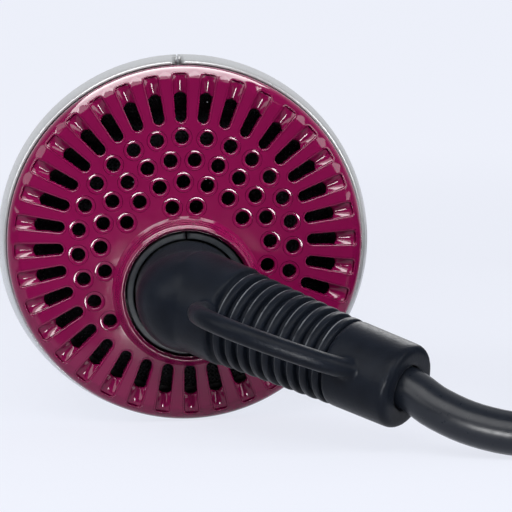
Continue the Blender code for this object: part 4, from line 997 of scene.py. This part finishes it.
# %% [markdown]
# ## Ribs of the elbow
#
# Nine rings run along the tapering neck. One ring is turned with a rounded section, and a small Geometry
# Nodes tree repeats it along a line and scales each copy to the taper. The rings sink a little into the core,
# so no gap shows. A thin, broken pale line is painted on the upper edge of each ring that faces the elbow: a
# painted highlight, where that edge catches the light. The tree stores that edge as an attribute of the mesh,
# and the rubber's colour reads it, so the painted highlight stays on the edge in every pose.

# %% Painted highlight on the rib edges
GLINT_ATTRIBUTE = "rubbed"
# Painted highlight: a pale grey mixed into the rubber's colour along the marked rib edges, broken up by a
# noise.
GLINT_COLOUR = (0.150, 0.160, 0.175)
GLINT_NOISE_SCALE = 450.0
GLINT_NOISE_RANGE = (0.36, 0.60)
GLINT_NOISE_SHARE = (0.15, 1.0)
rubber = FINISH["rubber"].node_tree
base = rubber.nodes["Principled BSDF"].inputs["Base Color"]
rubbed = node(rubber, "ShaderNodeAttribute", {"attribute_name": GLINT_ATTRIBUTE}).outputs["Fac"]
where = node(rubber, "ShaderNodeTexCoord").outputs["Object"]
uneven = out(rubber, "ShaderNodeTexNoise", Vector=where, Scale=GLINT_NOISE_SCALE, Detail=3.0)
patchy = maths(rubber, "MULTIPLY", rubbed, ranged(rubber, uneven, GLINT_NOISE_RANGE, GLINT_NOISE_SHARE))
glinted = out(
    rubber, "ShaderNodeMix", {"data_type": "RGBA"},
    Factor=patchy, A=base.links[0].from_socket, B=(*GLINT_COLOUR, 1.0),
)
rubber.links.new(glinted, base)
print("rubber", len(rubber.nodes), "nodes")

# %% Geometry Nodes that repeat the rib
RIB_SINK = 0.0004
RIB_RISE = (0.26, 0.40)
RIB_FALL = (0.92, 1.00)
RIB_ROUND = 0.00034
RIB_POINTS = 80
GLINT_EDGE = 0.45
GLINT_WIDTH = 0.05
GLINT_HEIGHT = (0.0030, -0.0030)
GLINT_HEIGHT_SHARE = (0.10, 1.0)


def lay_out_ribs(tree, size):
    start = vector(tree, Z=size["Start"])
    step = vector(tree, Z=size["Pitch"])
    line = out(
        tree, "GeometryNodeMeshLine", {"mode": "OFFSET"},
        Count=size["Count"], Start_Location=start, Offset=step,
    )
    index = out(tree, "GeometryNodeInputIndex")
    last = maths(tree, "SUBTRACT", size["Count"], 1.0)
    share = ranged(tree, index, (0.0, last), (1.0, size["Last Scale"]))
    ribs = copies(tree, line, size["Rib"], Scale=vector(tree, X=share, Y=share, Z=1.0))
    parts = node(tree, "ShaderNodeSeparateXYZ", Vector=position(tree)).outputs
    along = maths(tree, "SUBTRACT", parts["Z"], size["Start"])
    along = maths(tree, "FRACT", maths(tree, "DIVIDE", along, size["Pitch"]))
    # Mask of the painted highlight: one edge of each ring, stronger on the ring's upper side, where the light
    # falls.
    edge = compared(tree, along, "EQUAL", size["Edge"], Epsilon=size["Edge Width"])
    glint = maths(tree, "MULTIPLY", edge, ranged(tree, parts["Y"], GLINT_HEIGHT, GLINT_HEIGHT_SHARE))
    return out(
        tree, "GeometryNodeStoreNamedAttribute", {"data_type": "FLOAT", "domain": "POINT"},
        Geometry=ribs, Name=GLINT_ATTRIBUTE, Value=glint,
    )


foot = RIB_FIRST_RADIUS - RIB_DEPTH - RIB_SINK
rib_section = eased(
    [
        (foot, RIB_PITCH * RIB_RISE[0]), (RIB_FIRST_RADIUS, RIB_PITCH * RIB_RISE[1]),
        (RIB_FIRST_RADIUS, RIB_PITCH * RIB_FALL[0]), (foot, RIB_PITCH * RIB_FALL[1]),
    ],
    RIB_ROUND, 4,
)
rib_ring = add_object("rib_ring", mesh_of("rib_ring", shape_of(*turned(rib_section, RIB_POINTS, True))))
ribs = grown("relief_ribs", lay_out_ribs, {
    "Rib": rib_ring, "Count": RIB_COUNT, "Start": NECK_LENGTH, "Pitch": RIB_PITCH,
    "Last Scale": RIB_LAST_RADIUS / RIB_FIRST_RADIUS, "Edge": GLINT_EDGE, "Edge Width": GLINT_WIDTH,
    "Finish": FINISH["rubber"],
})
bpy.data.objects.remove(rib_ring)
ribs.transform(RELIEF)
elbow_mesh = mesh_of("strain_relief_elbow", shape_from(elbow_mesh, ribs))
elbow = place_piece("strain_relief_elbow", elbow_mesh, "cord", "rubber", "strain_relief")

# %% [markdown]
# ## Silver shells
#
# The handle is two shells that meet on the middle plane. Their round section sits eccentric at
# the back, where it holds the grille, and shrinks towards the outlet, while the underside stays
# straight, a shallow round keel to lie on. A loft of sections from the same rule gives a smooth
# skin. The notch in the seam and the windows for the switch and the latch are cut with Booleans,
# because each occurs once.

# %% Sections of the handle
FRONT_RADIUS = 0.02085
HOUSING_WALL = 0.0020
HOUSING_START = 0.0037
HOUSING_END = 0.1500
WIDEST_ALONG = 0.0080
TAPER_EASE = 0.60
LIP_STEP = 0.0003
GROOVE_RADIUS = 0.02655
GROOVE_END = 0.0054
MOUTH = 0.0249
MOUTH_END = 0.0095
NOTCH_WIDTH = 0.0010
NOTCH_END = 0.0053
SECTION_POINTS = 64
KEEL_START = radians(-5.0)


def swell(along):
    """Share of the rear swelling left at this place, from 1 at the widest to 0 at the front."""
    reach = max(0.0, along - WIDEST_ALONG) / (HOUSING_END - WIDEST_ALONG)
    return 0.5 + 0.5 * cos(pi * min(1.0, reach) ** TAPER_EASE)


def crown(along):
    """Height of the handle's top line above the air axis."""
    return FRONT_RADIUS + 2 * COLLAR_DROP * swell(along)


def half_section(radius, rise, keel, gap):
    """Right half of a section, from top to bottom: round, but only as deep as the keel underneath."""
    points = []
    for angle in spread(pi / 2, -pi / 2, SECTION_POINTS):
        share = min(1.0, max(0.0, (KEEL_START - angle) / (KEEL_START + pi / 2)))
        reach = radius + (min(keel, radius) - radius) * share * share * (3 - 2 * share)
        points.append((max(gap, reach * cos(angle)), rise + reach * sin(angle)))
    return points


def shell_half(sign):
    """One closed half of the housing, on the side that sign gives."""
    stations = []
    widest = FRONT_RADIUS + COLLAR_DROP
    lip_start = GRILLE_RADIUS + LIP_STEP
    for t in spread(-pi / 2, 0.0, 14):
        along = WIDEST_ALONG + (WIDEST_ALONG - HOUSING_START) * sin(t)
        stations.append((along, lip_start + (widest - lip_start) * cos(t)))
    for share in spread(0.0, 1.0, 48)[1:]:
        along = WIDEST_ALONG + (HOUSING_END - WIDEST_ALONG) * share ** (1 / TAPER_EASE)
        stations.append((along, FRONT_RADIUS + COLLAR_DROP * swell(along)))
    points = []
    for along, radius in stations:
        rise = COLLAR_DROP * swell(along)
        inner = GROOVE_RADIUS if along < GROOVE_END else MOUTH if along < MOUTH_END else radius - HOUSING_WALL
        keel = rise + AIR_HEIGHT
        outside = half_section(radius, rise, keel, FIT / 2)
        inside = half_section(inner, rise, keel - HOUSING_WALL if along >= MOUTH_END else inner, FIT / 2)
        for x, up in outside + inside[::-1]:
            points.append((sign * x, up, -along))
    columns = 2 * (SECTION_POINTS + 1)
    faces = quads(len(stations), columns)
    for j in range(columns // 2 - 1):
        for first in (0, (len(stations) - 1) * columns):
            last = first + columns - 1
            faces.append((first + j, first + j + 1, last - 1 - j, last - j))
    return shape_of(points, faces, AXIS)


# %% Tools that cut windows
def box_shape(low, high, place):
    points = [(x, y, z) for x in (low[0], high[0]) for y in (low[1], high[1]) for z in (low[2], high[2])]
    faces = [(0, 1, 3, 2), (4, 6, 7, 5), (0, 4, 5, 1), (2, 3, 7, 6), (0, 2, 6, 4), (1, 5, 7, 3)]
    return shape_of(points, faces, place)


def prism_shape(outline, low, high, place):
    points = [(x, y, z) for z in (low, high) for x, y in outline]
    count = len(outline)
    faces = [tuple(range(count)), tuple(range(count, 2 * count)), *quads(2, count)]
    return shape_of(points, faces, place)


def carved(name, shape, cutters):
    """A mesh with the cutters taken out of it by exact Booleans."""
    piece = add_object(name, mesh_of(name, shape))
    tools = [add_object(f"{name}_cutter_{i}", mesh_of("cutter", cutter)) for i, cutter in enumerate(cutters)]
    for tool in tools:
        cut = piece.modifiers.new(tool.name, "BOOLEAN")
        cut.operation = "DIFFERENCE"
        cut.solver = "EXACT"
        cut.object = tool
    mesh = settled(piece)
    for tool in tools:
        bpy.data.objects.remove(tool)
    return mesh


# %% Shells with their notch and windows
PANEL_START = 0.0450
PANEL_LENGTH = 0.0440
PANEL_WIDTH = 0.0150
PANEL_SUNK = 0.0024
BUTTON_START = 0.1260
BUTTON_LENGTH = 0.0100
BUTTON_FLOOR = 0.0175
LATCH_WIDTH = 0.0050
CUT_TOP = 0.1
PANEL_CORNER = 0.35
PANEL_END = PANEL_START + PANEL_LENGTH
PANEL_RISE = (crown(PANEL_START) + crown(PANEL_END)) / 2
PANEL_SLOPE = atan2(crown(PANEL_START) - crown(PANEL_END), PANEL_LENGTH)
PANEL_MIDDLE = (0.0, FACE_Y + (PANEL_START + PANEL_END) / 2, AIR_HEIGHT + PANEL_RISE)
SWITCH = placed(PANEL_MIDDLE, (-PANEL_SLOPE, 0.0, 0.0))


def round_rectangle(half_width, half_length, radius):
    points = []
    for i, (x_side, y_side) in enumerate(((1, -1), (1, 1), (-1, 1), (-1, -1))):
        x = x_side * (half_width - radius)
        y = y_side * (half_length - radius)
        points += arc(x, y, radius, pi / 2 * (i - 1), pi / 2 * i, 8)
    return points


over = LATCH_WIDTH / 2 + FIT
window = round_rectangle(PANEL_WIDTH / 2 + FIT, PANEL_LENGTH / 2 + FIT, PANEL_WIDTH * PANEL_CORNER + FIT)
notch_low = (-NOTCH_WIDTH / 2, COLLAR_DROP + GRILLE_RADIUS, -NOTCH_END)
button_low = (-over, BUTTON_FLOOR, -BUTTON_START - BUTTON_LENGTH - FIT)
for side, sign in (("left", -1), ("right", 1)):
    cutters = [
        box_shape(notch_low, (NOTCH_WIDTH / 2, CUT_TOP, 0.0), AXIS),
        box_shape(button_low, (over, CUT_TOP, FIT - BUTTON_START), AXIS),
        prism_shape(window, -2 * PANEL_SUNK, 2 * PANEL_SUNK, SWITCH),
    ]
    name = "shell_" + side
    place_piece(name, carved(name, shell_half(sign), cutters), "handle", "silver", "housing_" + side)

# %% [markdown]
# ## Smaller mouldings
#
# The switch, the latch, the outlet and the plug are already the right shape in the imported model.
# A copy of each gets its doubles merged, its flat faces joined and its sharp edges bevelled,
# which is how a mould softens them.

# %% Eased copies of the smaller mouldings
SOLID_DOUBLES = 1e-6
FLAT_ANGLE = radians(1.0)
EDGE_ANGLE = radians(35.0)


def eased_copy(name, source, body, material, radius):
    shape = shape_from(frame["nodes"][source].data)
    bmesh.ops.remove_doubles(shape, verts=shape.verts[:], dist=SOLID_DOUBLES)
    bmesh.ops.dissolve_limit(shape, angle_limit=FLAT_ANGLE, verts=shape.verts[:], edges=shape.edges[:])
    maker = add_object(name + "_plain", mesh_of(name, shape))
    bevel = maker.modifiers.new("eased_edges", "BEVEL")
    bevel.width = radius
    bevel.segments = 3
    bevel.limit_method = "ANGLE"
    bevel.angle_limit = EDGE_ANGLE
    bevel.use_clamp_overlap = True
    return place_piece(name, settled(maker), body, material, source)


eased_copy("slide_panel", "switch_panel", "handle", "silver", 0.00035)
eased_copy("slide_knob", "switch_knob", "slide_knob", "burgundy", 0.00030)
eased_copy("latch_button", "release_latch", "latch", "plastic", 0.00025)
eased_copy("outlet_ring", "trim_ring", "handle", "burgundy", 0.00030)
eased_copy("attachment_spigot", "front_spigot", "handle", "plastic", 0.00025)
eased_copy("outlet_bars", "outlet_grille", "handle", "plastic", 0.00025)
plug = eased_copy("mains_plug", "plug_body", "cord", "plastic", 0.00030)
pin_left = eased_copy("mains_pin_left", "plug_pin_left", "cord", "brass", 0.00020)
pin_right = eased_copy("mains_pin_right", "plug_pin_right", "cord", "brass", 0.00020)
strap = eased_copy("coil_strap", "cord_tie", "cord", "rubber", 0.00020)

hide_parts("cord_lead", "cord_coil", "cord_tail")
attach(mains_cord, "cord")

# %% [markdown]
# ## Works inside the handle
#
# The blower, the heater and the contacts only show as shapes behind the openings. Their packed
# solids stay, and take the finishes of the plastics and metals they are made of.

# %% Finishes of the works
WORKS = {
    "ceramic": ("slip_disc", "thermostat"),
    "brass": ("slip_ring_outer", "slip_ring_inner", "wiper_outer", "wiper_inner"),
    "plastic": ("contact_carrier", "fan_duct", "fan_impeller", "motor_end_cap", "switch_block"),
    "steel": ("motor_shaft", "motor_can", "thermal_fuse"),
    "mica": ("heater_board_upright", "heater_board_level", "mica_sleeve"),
    "wire": ("heater_coil",),
}
for material, names in WORKS.items():
    for name in names:
        frame["nodes"][name].data.materials.clear()
        frame["nodes"][name].data.materials.append(FINISH[material])
print("works", sum(len(names) for names in WORKS.values()), "nodes")

# %% [markdown]
# ## Table and light
#
# The object lies on a pale table that runs back out of sight. To the camera and in reflections
# the table is a plain pale tone, and near the object it shows more of its own shading, so that a
# soft shadow stays. The room is pale to the camera as well, but reflections see a room that is
# dim in front, so the gloss shows as clear lines on the rounded edges.
#
# A large lamp above and lamps at both sides light everything evenly. Three more lamps give
# highlights only: a small one low in front, a broad panel above that is kept to the grille, and a
# panel behind that is kept to the elbow's upper edges.

# %% Table
TABLE_WIDE = 6.0
TABLE_FRONT = -0.175
TABLE_BACK = 12.0
PALE = (0.863, 0.888, 0.973)
NEAR_TONE = 0.84
FAR_TONE = 0.97
NEAR_REACH = 0.12
FAR_REACH = 0.45

table_mesh = bpy.data.meshes.new("table")
corners = [(x, y, 0.0) for y in (TABLE_FRONT, TABLE_BACK) for x in (-TABLE_WIDE, TABLE_WIDE)]
table_mesh.from_pydata(corners, [], [(0, 1, 3, 2)])
table = add_object("table", table_mesh)
pale = bpy.data.materials.new("pale_table")
pale.use_nodes = True
tree = pale.node_tree
tree.nodes.remove(tree.nodes["Principled BSDF"])
lit = out(tree, "ShaderNodeBsdfDiffuse", Color=(*PALE, 1.0))
tone = out(tree, "ShaderNodeEmission", Color=(*PALE, 1.0), Strength=1.0)
path = node(tree, "ShaderNodeLightPath").outputs
seen = path["Is Camera Ray"]
for other in ("Is Glossy Ray", "Is Transmission Ray"):
    seen = maths(tree, "MAXIMUM", seen, path[other])
place = node(tree, "ShaderNodeTexCoord").outputs["Object"]
reach = maths(tree, "LENGTH", place, kind="ShaderNodeVectorMath")
fade = ranged(tree, reach, (NEAR_REACH, FAR_REACH), (NEAR_TONE, FAR_TONE), interpolation_type="SMOOTHSTEP")
mix_shaders(tree, maths(tree, "MULTIPLY", seen, fade), lit, tone, "Material Output")
table.data.materials.append(pale)
print("table", 2 * TABLE_WIDE, "m wide")

# %% Room: pale behind and at the sides, dim in front
ROOM_DEPTH = (-0.20, 0.70)
ROOM_STRENGTH = (0.06, 0.75)
ROOM_COLOUR = (0.93, 0.95, 1.0)
world = bpy.data.worlds.new("room")
bpy.context.scene.world = world
world.use_nodes = True
tree = world.node_tree
facing = node(tree, "ShaderNodeTexCoord").outputs["Generated"]
depth = node(tree, "ShaderNodeSeparateXYZ", Vector=facing).outputs["Y"]
strength = ranged(tree, depth, ROOM_DEPTH, ROOM_STRENGTH, interpolation_type="SMOOTHSTEP")
dim = out(tree, "ShaderNodeBackground", Color=(*ROOM_COLOUR, 1.0), Strength=strength)
plain = out(tree, "ShaderNodeBackground", Color=(*PALE, 1.0), Strength=1.0)
tree.nodes.remove(tree.nodes["Background"])
mix_shaders(tree, node(tree, "ShaderNodeLightPath").outputs["Is Camera Ray"], dim, plain, "World Output")
print("room", len(tree.nodes), "nodes")

# %% Lamps
# Place, width, height, power, whether it lights matt surfaces too, and the one piece it is kept to.
LAMPS = {
    "above": ((-0.12, -0.60, 0.62), 0.70, 0.50, 4.7, True, None),
    "left": ((-0.60, -0.42, 0.34), 0.40, 0.40, 1.8, True, None),
    "right": ((0.58, -0.52, 0.30), 0.40, 0.40, 2.6, True, None),
    "low": ((0.004, -0.192, 0.006), 0.022, 0.014, 0.042, False, None),
    "gloss": ((-0.05, -0.08, 0.60), 0.90, 0.80, 36.0, False, intake_grille),
    "back": ((0.10, 0.40, 0.30), 0.50, 0.24, 2.0, False, elbow),
}
AIM = Vector((0.0, FACE_Y, 0.028))
for name, (place, wide, tall, power, spreads, alone) in LAMPS.items():
    lamp = bpy.data.lights.new("lamp_" + name, "AREA")
    lamp.shape = "RECTANGLE"
    lamp.size = wide
    lamp.size_y = tall
    lamp.energy = power
    held = add_object("lamp_" + name, lamp)
    held.location = place
    held.rotation_mode = "QUATERNION"
    held.rotation_quaternion = (AIM - Vector(place)).to_track_quat("-Z", "Y")
    held.visible_diffuse = spreads
    held.visible_camera = False
    if alone:
        shine = bpy.data.collections.new("shine_" + name)
        shine.objects.link(alone)
        held.light_linking.receiver_collection = shine
bpy.context.scene.view_settings.view_transform = "Standard"
print("lamps", ", ".join(LAMPS))

# %% The end
bpy.context.view_layer.update()
